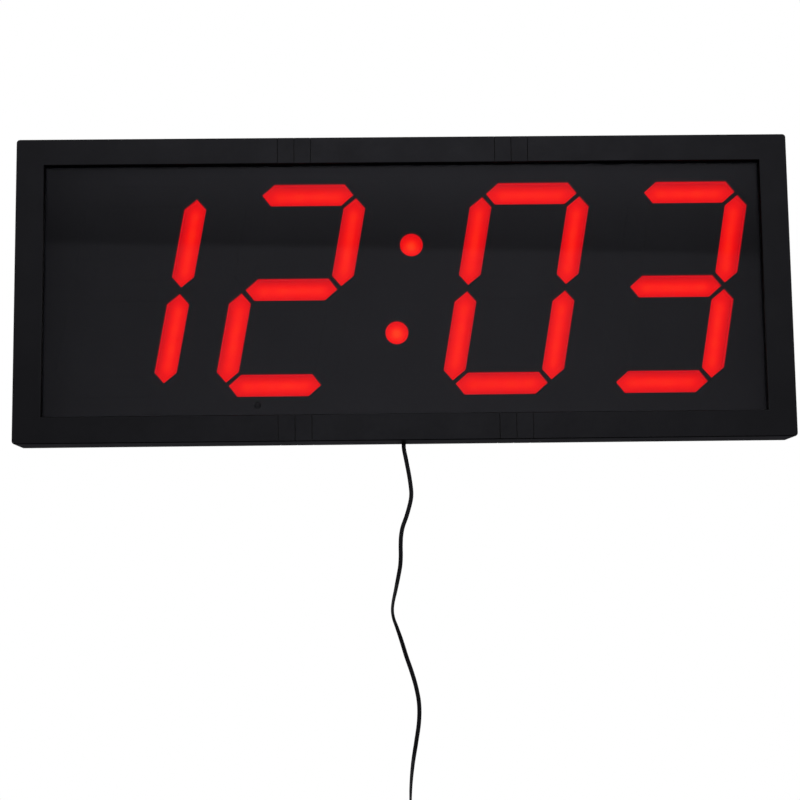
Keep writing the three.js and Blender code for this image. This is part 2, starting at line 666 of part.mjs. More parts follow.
function addControls() {
  const base = CONTROL_BACK_Y + GAP;
  add('control_board', controlBoard(), BOARD_GREEN);
  add('microcontroller', block(CHIP.x, base, base + CHIP.height, CHIP.z, CHIP.size, CHIP.size),
    CHIP_BLACK);
  add('buzzer', buzzerCan(), CHIP_BLACK);
  add('battery_holder', batteryHolder(), CHIP_BLACK);
  add('coin_cell', rod(CELL.radius, 0, CELL.height, 0, 0, 24), CELL_STEEL,
    DOOR.x, base + HOLDER.floor + GAP, DOOR.z);
  add('lead_socket', block(CORD_X, base, base + LEAD_SOCKET.depth, LEAD_SOCKET.z,
    LEAD_SOCKET.width, LEAD_SOCKET.height), SOCKET_WHITE);
  BUTTON_NAMES.forEach((name, index) => {
    add(`${name}_switch`, tactSwitch(), CHIP_BLACK, BUTTON_X[index], 0, BUTTON_Z);
    add(`${name}_button`, buttonCap(), BUTTON_GREY, BUTTON_X[index], 0, BUTTON_Z);
  });
  screwedPostPlaces().forEach(([x, z], index) => {
    const driven = screw({ ...BOARD_SCREW, length: CONTROL_SCREW_LENGTH });
    driven.rotateX(Math.PI);
    add(`control_board_screw_${index + 1}`, driven, SCREW_STEEL, x, CONTROL_Y - GAP, z);
  });
}

function addRear() {
  add('rear_cover', rearCover(), COVER_BLACK);
  add('battery_door', batteryDoor(), COVER_BLACK);
  const belowFace = 0.1; // the heads sit just below the cover's face
  COVER_SCREWS.forEach(([x, z], index) => {
    add(`cover_screw_${index + 1}`, screw(COVER_SCREW), SCREW_STEEL,
      x, -COVER_SCREW.headHeight - belowFace, z);
  });
}

// ---- lead, coil and adapter ----
function uprightRod(radius, zLow, zHigh, x, y, sides) {
  const geometry = new THREE.CylinderGeometry(radius, radius, zHigh - zLow, sides);
  geometry.rotateX(Math.PI / 2);
  geometry.translate(x, y, (zLow + zHigh) / 2);
  return geometry;
}

function grommetHole() {
  return uprightRod(GROMMET_RADIUS, CASE_BOTTOM - PAST, CASE_BOTTOM + WALL + PAST,
    CORD_X, CORD_Y, 16);
}

// A rubber bush, flush with the underside, with a flange inside the wall.
function grommet() {
  const bore = CORD_WIDTH / 2 + GAP;
  const neck = GROMMET_RADIUS - GAP;
  const flangeLow = WALL + GAP;
  const top = GROMMET_HEIGHT;
  return turned([
    [bore, 0], [neck, 0], [neck, flangeLow], [GROMMET_FLANGE, flangeLow],
    [GROMMET_FLANGE, top], [bore, top], [bore, 0],
  ], 16, true);
}

function cordTube(points, steps) {
  const section = new THREE.Shape();
  section.absarc(0, 0, CORD_WIDTH / 2, 0, 2 * Math.PI, false);
  const path = new THREE.CatmullRomCurve3(points.map((point) => new THREE.Vector3(...point)));
  return new THREE.ExtrudeGeometry(section, {
    steps, extrudePath: path, curveSegments: CORD_SIDES / 2, bevelEnabled: false,
  });
}

// The stretch inside the casing, from the bush up and back to the control board's socket.
function innerLead() {
  const socketEnd = LEAD_SOCKET.z - LEAD_SOCKET.height / 2 - GAP;
  const route = [
    [CORD_X, CORD_Y, CASE_BOTTOM + GROMMET_HEIGHT + GAP], [CORD_X, CORD_Y, -98],
    [CORD_X, -13, -92], [CORD_X, -9, -86], [CORD_X, -7.2, -80], [CORD_X, -6.8, socketEnd],
  ];
  return cordTube(route, INNER_LEAD_STEPS);
}

function coilRing() {
  const halfRadial = COIL_ROWS * CORD_WIDTH / 2;
  const halfAxial = COIL_LAYERS * CORD_WIDTH / 2;
  const chamfer = 1;
  const inner = COIL_MEAN_RADIUS - halfRadial;
  const outer = COIL_MEAN_RADIUS + halfRadial;
  return turned([
    [inner, -halfAxial + chamfer], [inner + chamfer, -halfAxial], [outer - chamfer, -halfAxial],
    [outer, -halfAxial + chamfer], [outer, halfAxial - chamfer], [outer - chamfer, halfAxial],
    [inner + chamfer, halfAxial], [inner, halfAxial - chamfer], [inner, -halfAxial + chamfer],
  ], 28);
}

// A plastic band round the coil's turns, on the side away from the lead.
function coilTie() {
  const radial = COIL_ROWS * CORD_WIDTH + 2 * TIE.clearance;
  const axial = COIL_LAYERS * CORD_WIDTH + 2 * TIE.clearance;
  const band = rectangle(radial + 2 * TIE.thickness, axial + 2 * TIE.thickness, 1);
  band.holes.push(rectangle(radial, axial));
  const geometry = new THREE.ExtrudeGeometry(band,
    { depth: TIE.width, bevelEnabled: false, curveSegments: 3 });
  geometry.translate(0, 0, -TIE.width / 2);
  return geometry;
}

function adapterCase() {
  const shape = rectangle(ADAPTER.width, ADAPTER.depth, ADAPTER.corner);
  const geometry = new THREE.ExtrudeGeometry(shape,
    { depth: ADAPTER.height, bevelEnabled: false, curveSegments: 4 });
  geometry.translate(0, 0, -ADAPTER.height);
  return geometry;
}

function addLead() {
  add('cord_grommet', grommet(), RUBBER_BLACK, CORD_X, CORD_Y, CASE_BOTTOM);
  add('inner_lead', innerLead(), CORD_BLACK);
  add('power_cord', cordTube(CORD_ROUTE.map(([x, z]) => [x, CORD_Y, z]), CORD_STEPS), CORD_BLACK);
  add('cord_coil', coilRing(), CORD_BLACK, COIL_X, CORD_Y, COIL_Z);
  add('cord_tie', coilTie(), RUBBER_BLACK, COIL_X + COIL_MEAN_RADIUS, CORD_Y, COIL_Z);
  const bootTop = COIL_Z - BOOT.belowCoil;
  const boot = turned([
    [0, -BOOT.length], [BOOT.bottomRadius, -BOOT.length], [BOOT.topRadius, 0], [0, 0],
  ], 14, true);
  add('adapter_boot', boot, RUBBER_BLACK, 0, CORD_Y, bootTop);
  const caseTop = bootTop - BOOT.length - GAP;
  add('adapter_case', adapterCase(), COVER_BLACK, 0, CORD_Y, caseTop);
  const prongTop = caseTop - ADAPTER.height - GAP;
  [['left', -1], ['right', 1]].forEach(([name, side]) => {
    const prong = new THREE.BoxGeometry(PRONG.thickness, PRONG.width, PRONG.length);
    add(`adapter_prong_${name}`, prong, PRONG_NICKEL,
      side * PRONG.spacing / 2, CORD_Y, prongTop - PRONG.length / 2);
  });
}

add('front_frame', frontFrame(), FRAME_BLACK);
addDisplay();
addControls();
addRibbons();
addRear();
addLead();

export default timer;
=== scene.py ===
# Visual model of a wall-mounted digital timer: four red seven-segment digits behind a dark window,
# in a black moulded frame, with a thin flat lead that hangs down to its coil and plug-in adapter.
# Metres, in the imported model's frame: +Z up, the wall at y = 0, the display facing -Y.

import json
import math

import bmesh
import bpy
from mathutils import Matrix, Vector


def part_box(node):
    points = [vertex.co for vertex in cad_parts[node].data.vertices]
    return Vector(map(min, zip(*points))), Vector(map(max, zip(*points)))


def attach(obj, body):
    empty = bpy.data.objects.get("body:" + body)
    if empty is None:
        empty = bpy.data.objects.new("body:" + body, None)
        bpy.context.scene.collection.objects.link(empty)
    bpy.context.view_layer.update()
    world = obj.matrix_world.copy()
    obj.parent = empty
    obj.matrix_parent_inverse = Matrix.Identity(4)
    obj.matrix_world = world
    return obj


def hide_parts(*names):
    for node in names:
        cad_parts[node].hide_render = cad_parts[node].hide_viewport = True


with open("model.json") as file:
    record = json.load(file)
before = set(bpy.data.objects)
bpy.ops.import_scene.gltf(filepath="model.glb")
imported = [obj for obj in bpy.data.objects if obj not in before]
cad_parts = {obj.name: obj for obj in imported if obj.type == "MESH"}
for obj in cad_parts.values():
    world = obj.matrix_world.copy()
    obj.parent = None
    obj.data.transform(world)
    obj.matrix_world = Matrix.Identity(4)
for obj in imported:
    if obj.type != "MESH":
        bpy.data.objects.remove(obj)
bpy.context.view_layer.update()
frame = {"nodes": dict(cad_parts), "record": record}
NODES = frame["nodes"]
MM = 0.001
TOUCH = 0.01 * MM  # closer than this is the same place
SHARP = math.radians(35)  # CAD edges that turn more than this are corners, not facets of a curve
ROUND_SIDES = 48  # sides of a round outline
POLE = 0.02 * MM  # radius at which a turned profile is closed on its axis
ARC_MIDDLE = 0.3  # how far in and back the middle of a rounded rim lies, as a share of the rim

# ---- camera: close in front of the timer, a little below its centre, tilted up ----
CAMERA_PLACE = Vector((-0.0218, -1.14285, -0.21643))
CAMERA_PITCH = math.radians(6.956)
CAMERA_YAW = math.radians(0.914)
CAMERA_ROLL = math.radians(-0.701)
CAMERA_LENS = 72

# ---- display ----
READING = ["bc", "abged", "abcdef", "abcdg"]  # the lit segments of 12:03
SEGMENT_WIDTH = 16 * MM
SEGMENT_POINT = 7.6 * MM  # length of each pointed end
SEGMENT_TIP_CLEARANCE = 2.1 * MM
DIGIT_SPAN_X = 69.8 * MM
DIGIT_SPAN_Z = 137 * MM
LEAN = 0.175
BAR_INSET = 0.3 * MM
UNLIT_INSET = 0.05 * MM
BAR_EDGE = 0.35 * MM  # how far a lit bar's rim rounds back from its face
UNLIT_EDGE = 0.04 * MM
BAR_STEPS = 22  # rows of faces from a bar's middle to its tip
BAR_GLOW = 0.88  # brightness along the middle of a bar, where 1 is the middle of a colon dot
BEAD_GAIN = 0.07  # how much brighter the bar is right over an LED
BEAD_REACH = 0.4  # of the distance between LEDs
TIP_DIMS_FROM = 0.62  # of the way from a bar's middle to its tip
TIP_FALL = 0.5
DIFFUSER_PLATE = 1.2 * MM
PLATE_EDGE = 0.15 * MM
INTO_PLATE = 0.2 * MM  # how far a bar's sides reach into the plate
RECEIVER_LENS = 2.8 * MM
POOL_ABOVE_LEDS = 1.3 * MM
COLON_RADIUS = 8.4 * MM
COLON_Z = 31.7 * MM
LEDS_PER_SEGMENT = 4
RIBBON_PITCH = 1.27 * MM
WAVE_NODE_FACTOR = 20  # by which the wave texture multiplies its scale
MASK_COLOUR = (0.122, 0.120, 0.132)

# ---- lead ----
CORD_WIDTH = 3.0 * MM
CORD_THICKNESS = 1.8 * MM
CORD_WAIST = 1.35 * MM  # thickness between the two cores
CORD_Y = -15 * MM
CORD_INTO_CASE = 15 * MM  # how far the lead runs on inside the adapter
COIL_ROWS = 3
COIL_LAYERS = 4
COIL_MEAN_RADIUS = 16.5 * MM

# The hanging stretch, from the casing's underside to the coil: (x, z) in millimetres.
CORD_ROUTE = [
    (-1.6, -109.3), (-1.4, -114), (0.1, -122), (1.9, -132), (3.1, -141), (3.3, -147),
    (2.2, -153), (-0.3, -161.5), (-2.9, -168.5), (-4.2, -175), (-4.6, -182), (-4.6, -189),
    (-5.1, -196), (-6.5, -203.5), (-8.5, -213), (-10.3, -221), (-10.9, -227), (-10.1, -232.5),
    (-7.8, -239), (-4.8, -248), (-1.5, -259), (2.2, -270), (5.2, -281), (6.9, -292),
    (6.6, -304), (4.6, -317), (2.2, -331), (0.6, -345), (0, -358), (0, -377.2),
]
EDGE_ON_Z = -0.227  # where the flat lead turns its edge to the front
EDGE_ON_REACH = 0.022
EDGE_ON_ROLL = math.radians(62)
TURNS_TO_COIL = (0.30, 0.37)  # how far down the lead rolls edge-on to meet the coil
DRIFTS_TO_COIL = (0.33, 0.37)  # how far down it shifts to the coil's depth


def set_all(thing, settings):
    for name, value in settings.items():
        setattr(thing, name, value)


# ---- node trees ----
def add_node(tree, kind, inputs=None, **settings):
    """A node with its settings. Each input, by name or number, is linked or set to a value."""
    node = tree.nodes.new(kind)
    set_all(node, settings)
    for key, value in (inputs or {}).items():
        if isinstance(value, bpy.types.NodeSocket):
            tree.links.new(value, node.inputs[key])
        else:
            node.inputs[key].default_value = value
    return node


def grey(value):
    return (value, value, value, 1)


def shade(colour, factor, lift=0.0):
    """The colour made darker or lighter."""
    return (*(lift + factor * part for part in colour), 1)


def place(tree):
    return add_node(tree, "ShaderNodeTexCoord").outputs["Object"]


def noise(tree, size, detail, where=None):
    """Cloudy 0 to 1 values whose patches are about that size, in metres."""
    inputs = {"Vector": where or place(tree), "Scale": 1 / size, "Detail": detail}
    return add_node(tree, "ShaderNodeTexNoise", inputs).outputs["Fac"]


def remap(tree, value, low, high, from_low=0.3, from_high=0.7):
    inputs = {"Value": value, "From Min": from_low, "From Max": from_high,
              "To Min": low, "To Max": high}
    return add_node(tree, "ShaderNodeMapRange", inputs).outputs["Result"]


def calculate(tree, operation, first, second=0.0):
    inputs = {0: first, 1: second}
    return add_node(tree, "ShaderNodeMath", inputs, operation=operation).outputs[0]


def blend(tree, factor, first, second):
    inputs = {0: factor, 6: first, 7: second}
    return add_node(tree, "ShaderNodeMix", inputs, data_type="RGBA").outputs[2]


def ramp(tree, value, stops):
    """The colour at that value on a line through the (position, colour) stops."""
    node = add_node(tree, "ShaderNodeValToRGB", {"Fac": value})
    elements = node.color_ramp.elements
    while len(elements) < len(stops):
        elements.new(0.5)
    for element, (position, colour) in zip(elements, stops):
        element.position = position
        element.color = colour
    return node.outputs["Color"]


def levels(tree, value, stops):
    return ramp(tree, value, [(position, grey(level)) for position, level in stops])


def bump(tree, height, depth, strength, under=None):
    inputs = {"Height": height, "Distance": depth, "Strength": strength}
    if under is not None:
        inputs["Normal"] = under
    return add_node(tree, "ShaderNodeBump", inputs).outputs["Normal"]


def worn_edges(tree, amount):
    """0 on flat faces, up to amount on sharp outer edges, broken up as handling leaves them."""
    pointed = add_node(tree, "ShaderNodeNewGeometry").outputs["Pointiness"]
    edge = remap(tree, pointed, 0, amount, 0.51, 0.6)
    return calculate(tree, "MULTIPLY", edge, remap(tree, noise(tree, 6 * MM, 4), 0.2, 1))


def new_material(name, **fixed):
    """A material, its node tree and its shader, with the fixed values set on the shader itself."""
    material = bpy.data.materials.new(name)
    material.use_nodes = True
    tree = material.node_tree
    shader = tree.nodes["Principled BSDF"]
    for socket, value in fixed.items():
        shader.inputs[socket.replace("_", " ")].default_value = value
    return material, tree, shader


def connect(tree, shader, **sockets):
    for name, socket in sockets.items():
        tree.links.new(socket, shader.inputs[name.replace("_", " ")])


# ---- materials ----
def moulded(name, colour, roughness, grain, depth, wear=0.35, gloss=0.5):
    """Injection-moulded plastic: a fine spark-eroded grain, slow tone changes and rubbed edges."""
    material, tree, shader = new_material(name, IOR=1.5, Specular_IOR_Level=gloss)
    slow = remap(tree, noise(tree, 60 * MM, 3), 0, 1)
    tone = blend(tree, slow, shade(colour, 0.92), shade(colour, 1.08))
    colour_out = blend(tree, worn_edges(tree, wear), tone, shade(colour, 1.3, 0.03))
    patches = remap(tree, noise(tree, 25 * MM, 4), roughness - 0.03, roughness + 0.03)
    fine = noise(tree, grain, 3)
    flow = noise(tree, 14 * MM, 1)
    surface = bump(tree, fine, depth, 0.8, under=bump(tree, flow, 8 * depth, 0.25))
    connect(tree, shader, Base_Color=colour_out, Roughness=patches, Normal=surface)
    return material


def window_acrylic():
    """Dark tinted acrylic: the display's light comes through, and the polished face mirrors."""
    material, tree, shader = new_material("window_acrylic", Alpha=0.28, IOR=1.49)
    smudges = calculate(tree, "MULTIPLY", noise(tree, 35 * MM, 5), noise(tree, 6 * MM, 3))
    dark, light = (0.006, 0.006, 0.0068, 1), (0.0085, 0.0085, 0.0095, 1)
    connect(tree, shader, Base_Color=blend(tree, noise(tree, 90 * MM, 2), dark, light),
            Roughness=remap(tree, smudges, 0.0, 0.02, 0.1, 0.5),
            Normal=bump(tree, noise(tree, 120 * MM, 1), 0.05 * MM, 0.3))
    return material


def mask_print():
    """Flat black ink on the segment plate, with a slightly uneven lay."""
    return moulded("mask_print", MASK_COLOUR, 0.75, 0.5 * MM, 0.01 * MM, wear=0)


def smoked_diffuser():
    """The diffuser where nothing is lit: smoked so dark that it passes for the mask."""
    return moulded("segment_diffuser", MASK_COLOUR, 0.75, 0.4 * MM, 0.01 * MM, wear=0)


def segment_face():
    """The clear red face of a lit bar: it glows a little and shows the light behind it."""
    material, tree, shader = new_material(
        "segment_face", Alpha=0.35, Emission_Strength=1.45, Specular_IOR_Level=0.2,
        Emission_Color=(1, 0.0005, 0.006, 1))
    base = blend(tree, noise(tree, 10 * MM, 3), (0.10, 0.001, 0.004, 1), (0.14, 0.002, 0.006, 1))
    connect(tree, shader, Base_Color=base,
            Roughness=remap(tree, noise(tree, 4 * MM, 3), 0.42, 0.52),
            Normal=bump(tree, noise(tree, 0.5 * MM, 2), 0.01 * MM, 0.5))
    return material


def lit_diffuser():
    """The light in the wells: crimson at the rims, redder and then warmer towards the middle."""
    material, tree, shader = new_material("segment_lit", Roughness=0.5, Emission_Strength=2.05)
    glow = add_node(tree, "ShaderNodeAttribute", attribute_name="glow").outputs["Fac"]
    uneven = calculate(tree, "ADD", glow, remap(tree, noise(tree, 9 * MM, 3), -0.03, 0.03))
    colours = ramp(tree, uneven, [
        (0.0, (0.36, 0.0, 0.006, 1)), (0.3, (0.56, 0.0, 0.002, 1)), (0.6, (0.76, 0.0005, 0, 1)),
        (0.75, (0.93, 0.004, 0, 1)), (0.88, (1.0, 0.021, 0.001, 1)), (1.0, (1.0, 0.070, 0.006, 1)),
    ])
    grain = bump(tree, noise(tree, 0.5 * MM, 2), 0.01 * MM, 0.5)
    # The base colour is painted lighter where the glow is brighter: painted light from the LEDs.
    base = blend(tree, glow, (0.05, 0.001, 0.002, 1), (0.09, 0.003, 0.003, 1))
    connect(tree, shader, Base_Color=base, Emission_Color=colours, Normal=grain)
    return material


def board_laminate():
    """Green solder mask over tracks, with pale LED packages standing on the front."""
    material, tree, shader = new_material("board_laminate", IOR=1.5)
    where = place(tree)
    turned = add_node(tree, "ShaderNodeMapping", {"Vector": where, "Rotation": (math.pi / 2, 0, 0)})
    tracks = add_node(tree, "ShaderNodeTexBrick", {
        "Vector": turned.outputs[0], "Scale": 1 / (10 * MM), "Mortar Size": 0.04,
        "Mortar Smooth": 0.2, "Brick Width": 1.3, "Row Height": 0.32,
        "Color1": grey(0), "Color2": grey(0.25), "Mortar": grey(1),
    }).outputs["Color"]
    mask = blend(tree, tracks, (0.014, 0.085, 0.030, 1), (0.035, 0.17, 0.055, 1))
    cloud = remap(tree, noise(tree, 20 * MM, 3), 0, 0.35)
    cloudy = blend(tree, cloud, mask, (0.01, 0.06, 0.02, 1))
    height = add_node(tree, "ShaderNodeSeparateXYZ", {"Vector": where}).outputs["Y"]
    board_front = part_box("digit_1_led_board")[0].y + 0.8 * MM
    on_led = calculate(tree, "LESS_THAN", height, board_front - 0.05 * MM)
    colour = blend(tree, on_led, cloudy, (0.75, 0.73, 0.62, 1))
    finish = remap(tree, noise(tree, 3 * MM, 3), 0.22, 0.38)
    connect(tree, shader, Base_Color=colour, Roughness=finish,
            Normal=bump(tree, tracks, 0.035 * MM, 0.8))
    return material


def metal(name, colour, roughness, grain, tarnish=0.15):
    """Plated or bright metal with fine scratches and a patchy film."""
    material, tree, shader = new_material(name, Metallic=1.0)
    stretch = {"Vector": place(tree), "Scale": (1, 1, 8)}
    stretched = add_node(tree, "ShaderNodeMapping", stretch).outputs[0]
    scratches = noise(tree, grain, 4, where=stretched)
    film = remap(tree, noise(tree, 2.5 * MM, 4), 0, tarnish, 0.45, 0.75)
    tone = blend(tree, film, shade(colour, 1), shade(colour, 0.55))
    connect(tree, shader, Base_Color=tone,
            Roughness=remap(tree, scratches, roughness - 0.08, roughness + 0.12),
            Normal=bump(tree, scratches, 0.004 * MM, 0.5))
    return material


def ribbon_sleeve():
    """Grey ribbon cable: fine parallel cores under the sleeve."""
    material, tree, shader = new_material("ribbon_sleeve", IOR=1.5)
    cores = add_node(tree, "ShaderNodeTexWave", {
        "Vector": place(tree), "Scale": math.pi / (WAVE_NODE_FACTOR * RIBBON_PITCH),
        "Distortion": 0,
    }, bands_direction="Z").outputs["Fac"]
    tone = blend(tree, cores, (0.15, 0.16, 0.18, 1), (0.28, 0.29, 0.32, 1))
    connect(tree, shader, Base_Color=tone,
            Roughness=remap(tree, noise(tree, 5 * MM, 3), 0.42, 0.6),
            Normal=bump(tree, cores, 0.2 * MM, 0.9))
    return material


def soft_vinyl(name, colour, roughness, grain=0.35 * MM):
    """Soft PVC: a low sheen, fine flow marks along it and a dusty bloom."""
    material, tree, shader = new_material(name, IOR=1.5, Sheen_Weight=0.15, Sheen_Roughness=0.4)
    bloom = remap(tree, noise(tree, 12 * MM, 5), 0, 0.6)
    tone = blend(tree, bloom, shade(colour, 1), shade(colour, 1.6, 0.012))
    connect(tree, shader, Base_Color=tone,
            Roughness=remap(tree, noise(tree, 4 * MM, 4), roughness - 0.07, roughness + 0.07),
            Normal=bump(tree, noise(tree, grain, 3), 0.02 * MM, 0.7))
    return material


def white_moulding(name, colour):
    material = moulded(name, colour, 0.5, 0.6 * MM, 0.01 * MM, wear=0)
    shader = material.node_tree.nodes["Principled BSDF"]
    shader.inputs["Subsurface Weight"].default_value = 0.15
    shader.inputs["Subsurface Scale"].default_value = 1.5 * MM
    return material


# The CAD materials hold the plain names, so these may carry a numbered ending.
MATERIALS = {material.name.split(".")[0]: material for material in (
    moulded("frame_plastic", (0.006, 0.006, 0.0068), 0.33, 0.45 * MM, 0.008 * MM, gloss=0.45),
    window_acrylic(),
    mask_print(),
    smoked_diffuser(),
    segment_face(),
    lit_diffuser(),
    white_moulding("light_box_plastic", (0.8, 0.8, 0.78)),
    board_laminate(),
    metal("screw_steel", (0.46, 0.47, 0.48), 0.32, 0.3 * MM),
    moulded("component_plastic", (0.018, 0.018, 0.018), 0.5, 0.25 * MM, 0.006 * MM),
    metal("cell_steel", (0.62, 0.62, 0.61), 0.22, 0.4 * MM, tarnish=0.1),
    white_moulding("socket_plastic", (0.74, 0.70, 0.58)),
    ribbon_sleeve(),
    moulded("cover_plastic", (0.012, 0.012, 0.013), 0.58, 0.7 * MM, 0.03 * MM),
    moulded("button_plastic", (0.045, 0.045, 0.048), 0.5, 0.5 * MM, 0.012 * MM),
    soft_vinyl("soft_rubber", (0.010, 0.010, 0.010), 0.62),
    soft_vinyl("cord_sheath", (0.009, 0.009, 0.010), 0.46),
    moulded("adapter_plastic", (0.014, 0.014, 0.015), 0.52, 0.6 * MM, 0.025 * MM),
    metal("prong_metal", (0.66, 0.63, 0.57), 0.2, 0.25 * MM),
)}


# ---- mesh helpers ----
def extent(node):
    """A CAD node's lowest corner, its highest corner and the middle between them."""
    low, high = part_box(node)
    return low, high, (low + high) / 2


def new_piece(name, mesh, finish, stands_for="", body="casing", smooth_below=40,
              seen_from_inside=False):
    """An object of a finished bmesh, smooth except at edges sharper than smooth_below degrees.
    It hides the CAD nodes named in stands_for, with spaces between them."""
    bmesh.ops.remove_doubles(mesh, verts=mesh.verts, dist=1e-6)
    bmesh.ops.recalc_face_normals(mesh, faces=mesh.faces)
    if seen_from_inside:
        bmesh.ops.reverse_faces(mesh, faces=mesh.faces)
    for face in mesh.faces:
        face.smooth = True
    for edge in mesh.edges:
        edge.smooth = edge.calc_face_angle(0) < math.radians(smooth_below)
    data = bpy.data.meshes.new(name)
    mesh.to_mesh(data)
    mesh.free()
    data.materials.append(MATERIALS[finish])
    piece = bpy.data.objects.new(name, data)
    bpy.context.scene.collection.objects.link(piece)
    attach(piece, body)
    if stands_for:
        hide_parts(*stands_for.split())
    return piece


def skin(mesh, rings):
    """Faces between rings of vertices with the same count."""
    for ring, after in zip(rings, rings[1:]):
        for i in range(len(ring)):
            j = (i + 1) % len(ring)
            mesh.faces.new((ring[i], ring[j], after[j], after[i]))


def loft(mesh, rings, capped=True):
    """A skin between rings of points, with both ends closed when it is capped."""
    made = [[mesh.verts.new(point) for point in ring] for ring in rings]
    skin(mesh, made)
    if capped:
        mesh.faces.new(reversed(made[0]))
        mesh.faces.new(made[-1])


def rounded(profile, radius, steps=4):
    """The profile with each inner corner turned into a small arc."""
    points = [Vector(p) for p in profile]
    out = [points[0]]
    for before, corner, after in zip(points, points[1:], points[2:]):
        reach = min(radius, (before - corner).length * 0.45, (after - corner).length * 0.45)
        start = corner + (before - corner).normalized() * reach
        end = corner + (after - corner).normalized() * reach
        for i in range(steps + 1):
            t = i / steps
            out.append(start * (1 - t) ** 2 + corner * 2 * t * (1 - t) + end * t ** 2)
    out.append(points[-1])
    return out


def smoothstep(value, start, end):
    share = min(max((value - start) / (end - start), 0), 1)
    return share * share * (3 - 2 * share)


def catmull_rom(points, steps):
    """A smooth line through the points, with that many steps between each two."""
    ends = [points[0] * 2 - points[1], *points, points[-1] * 2 - points[-2]]
    line = []
    for a, b, c, d in zip(ends, ends[1:], ends[2:], ends[3:]):
        for i in range(steps):
            t = i / steps
            line.append(0.5 * (2 * b + (c - a) * t + (2 * a - 5 * b + 4 * c - d) * t ** 2
                               + (3 * b - a - 3 * c + d) * t ** 3))
    line.append(points[-1])
    return line


def circle(radius, sides, centre=(0, 0)):
    points = []
    for i in range(sides):
        angle = 2 * math.pi * i / sides
        points.append((centre[0] + radius * math.cos(angle), centre[1] + radius * math.sin(angle)))
    return points


def turned(mesh, profile, axis, centre, sides=ROUND_SIDES, capped=True):
    """A turned solid from (radius, distance) points along axis "Y" or "Z" through the centre."""
    rings = []
    for radius, along in profile:
        ring = []
        for first, second in circle(radius, sides):
            offset = (first, along, second) if axis == "Y" else (first, second, along)
            ring.append(Vector(centre) + Vector(offset))
        rings.append(ring)
    loft(mesh, rings, capped)


def round_box(width, height, radius, steps=6):
    """Points (across, up) of a rectangle with round corners and its centre at (0, 0)."""
    points = []
    for side_x, side_y, start in ((1, -1, -90), (1, 1, 0), (-1, 1, 90), (-1, -1, 180)):
        for i in range(steps + 1):
            angle = math.radians(start + 90 * i / steps)
            points.append((side_x * (width / 2 - radius) + radius * math.cos(angle),
                           side_y * (height / 2 - radius) + radius * math.sin(angle)))
    return points


def modify(piece, kind, **settings):
    set_all(piece.modifiers.new(kind.lower(), kind), settings)


def mesh_of(piece):
    """The object's mesh with its modifiers worked out."""
    graph = bpy.context.evaluated_depsgraph_get()
    return bpy.data.meshes.new_from_object(piece.evaluated_get(graph))


def carve(mesh, cutter):
    """The first bmesh with the second one cut out of it. Both are used up."""
    objects = []
    for solid in (mesh, cutter):
        bmesh.ops.remove_doubles(solid, verts=solid.verts, dist=1e-7)
        bmesh.ops.recalc_face_normals(solid, faces=solid.faces)
        data = bpy.data.meshes.new("carving")
        solid.to_mesh(data)
        solid.free()
        solid_object = bpy.data.objects.new("carving", data)
        bpy.context.scene.collection.objects.link(solid_object)
        objects.append(solid_object)
    block, tool = objects
    modify(block, "BOOLEAN", operation="DIFFERENCE", object=tool, solver="EXACT")
    result = bmesh.new()
    data = mesh_of(block)
    result.from_mesh(data)
    for leftover in objects:
        bpy.data.objects.remove(leftover)
    return result


def flat_plate(outline, holes, thickness, edge):
    """A bmesh of a plate in the XZ plane, centred on y = 0, with softly rounded edges."""
    curve = bpy.data.curves.new("outline", "CURVE")
    curve.dimensions = "2D"
    curve.fill_mode = "BOTH"
    curve.extrude = thickness / 2 - edge
    curve.bevel_depth = edge
    curve.bevel_resolution = 2
    curve.offset = -edge
    for points, wanted in [(outline, 1), *((hole, -1) for hole in holes)]:
        turn = sum(a[0] * b[1] - b[0] * a[1] for a, b in zip(points, [*points[1:], points[0]]))
        spline = curve.splines.new("POLY")
        spline.points.add(len(points) - 1)
        for point, (x, z) in zip(spline.points, points if turn * wanted > 0 else points[::-1]):
            point.co = (x, z, 0, 1)
        spline.use_cyclic_u = True
    flat = bpy.data.objects.new("outline", curve)
    bpy.context.scene.collection.objects.link(flat)
    mesh = bmesh.new()
    mesh.from_mesh(mesh_of(flat))
    bpy.data.objects.remove(flat)
    mesh.transform(Matrix.Rotation(math.pi / 2, 4, "X"))
    bmesh.ops.remove_doubles(mesh, verts=mesh.verts, dist=1e-6)
    return mesh


# ---- CAD nodes that keep their shape ----
def finish_cad_nodes():
    for part in frame["record"]["subparts"]:
        for slot in NODES[part["node"]].material_slots:
            slot.material = MATERIALS[part["material_slot"]]


def ends_of(first, second):
    """The same name for an edge wherever two copies of it start and end alike."""
    return frozenset(tuple(round(c / TOUCH) for c in point) for point in (first, second))


def sharp_edges(mesh):
    solid = bmesh.new()
    solid.from_mesh(mesh)
    bmesh.ops.remove_doubles(solid, verts=solid.verts, dist=TOUCH)
    found = {ends_of(*(vertex.co for vertex in edge.verts)) for edge in solid.edges
             if edge.calc_face_angle(0) > SHARP}
    solid.free()
    return found


def over(point, node):
    """Whether a point lies in front of or behind a CAD node, seen along Y."""
    low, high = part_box(node)
    return low.x < point.x < high.x and low.z < point.z < high.z


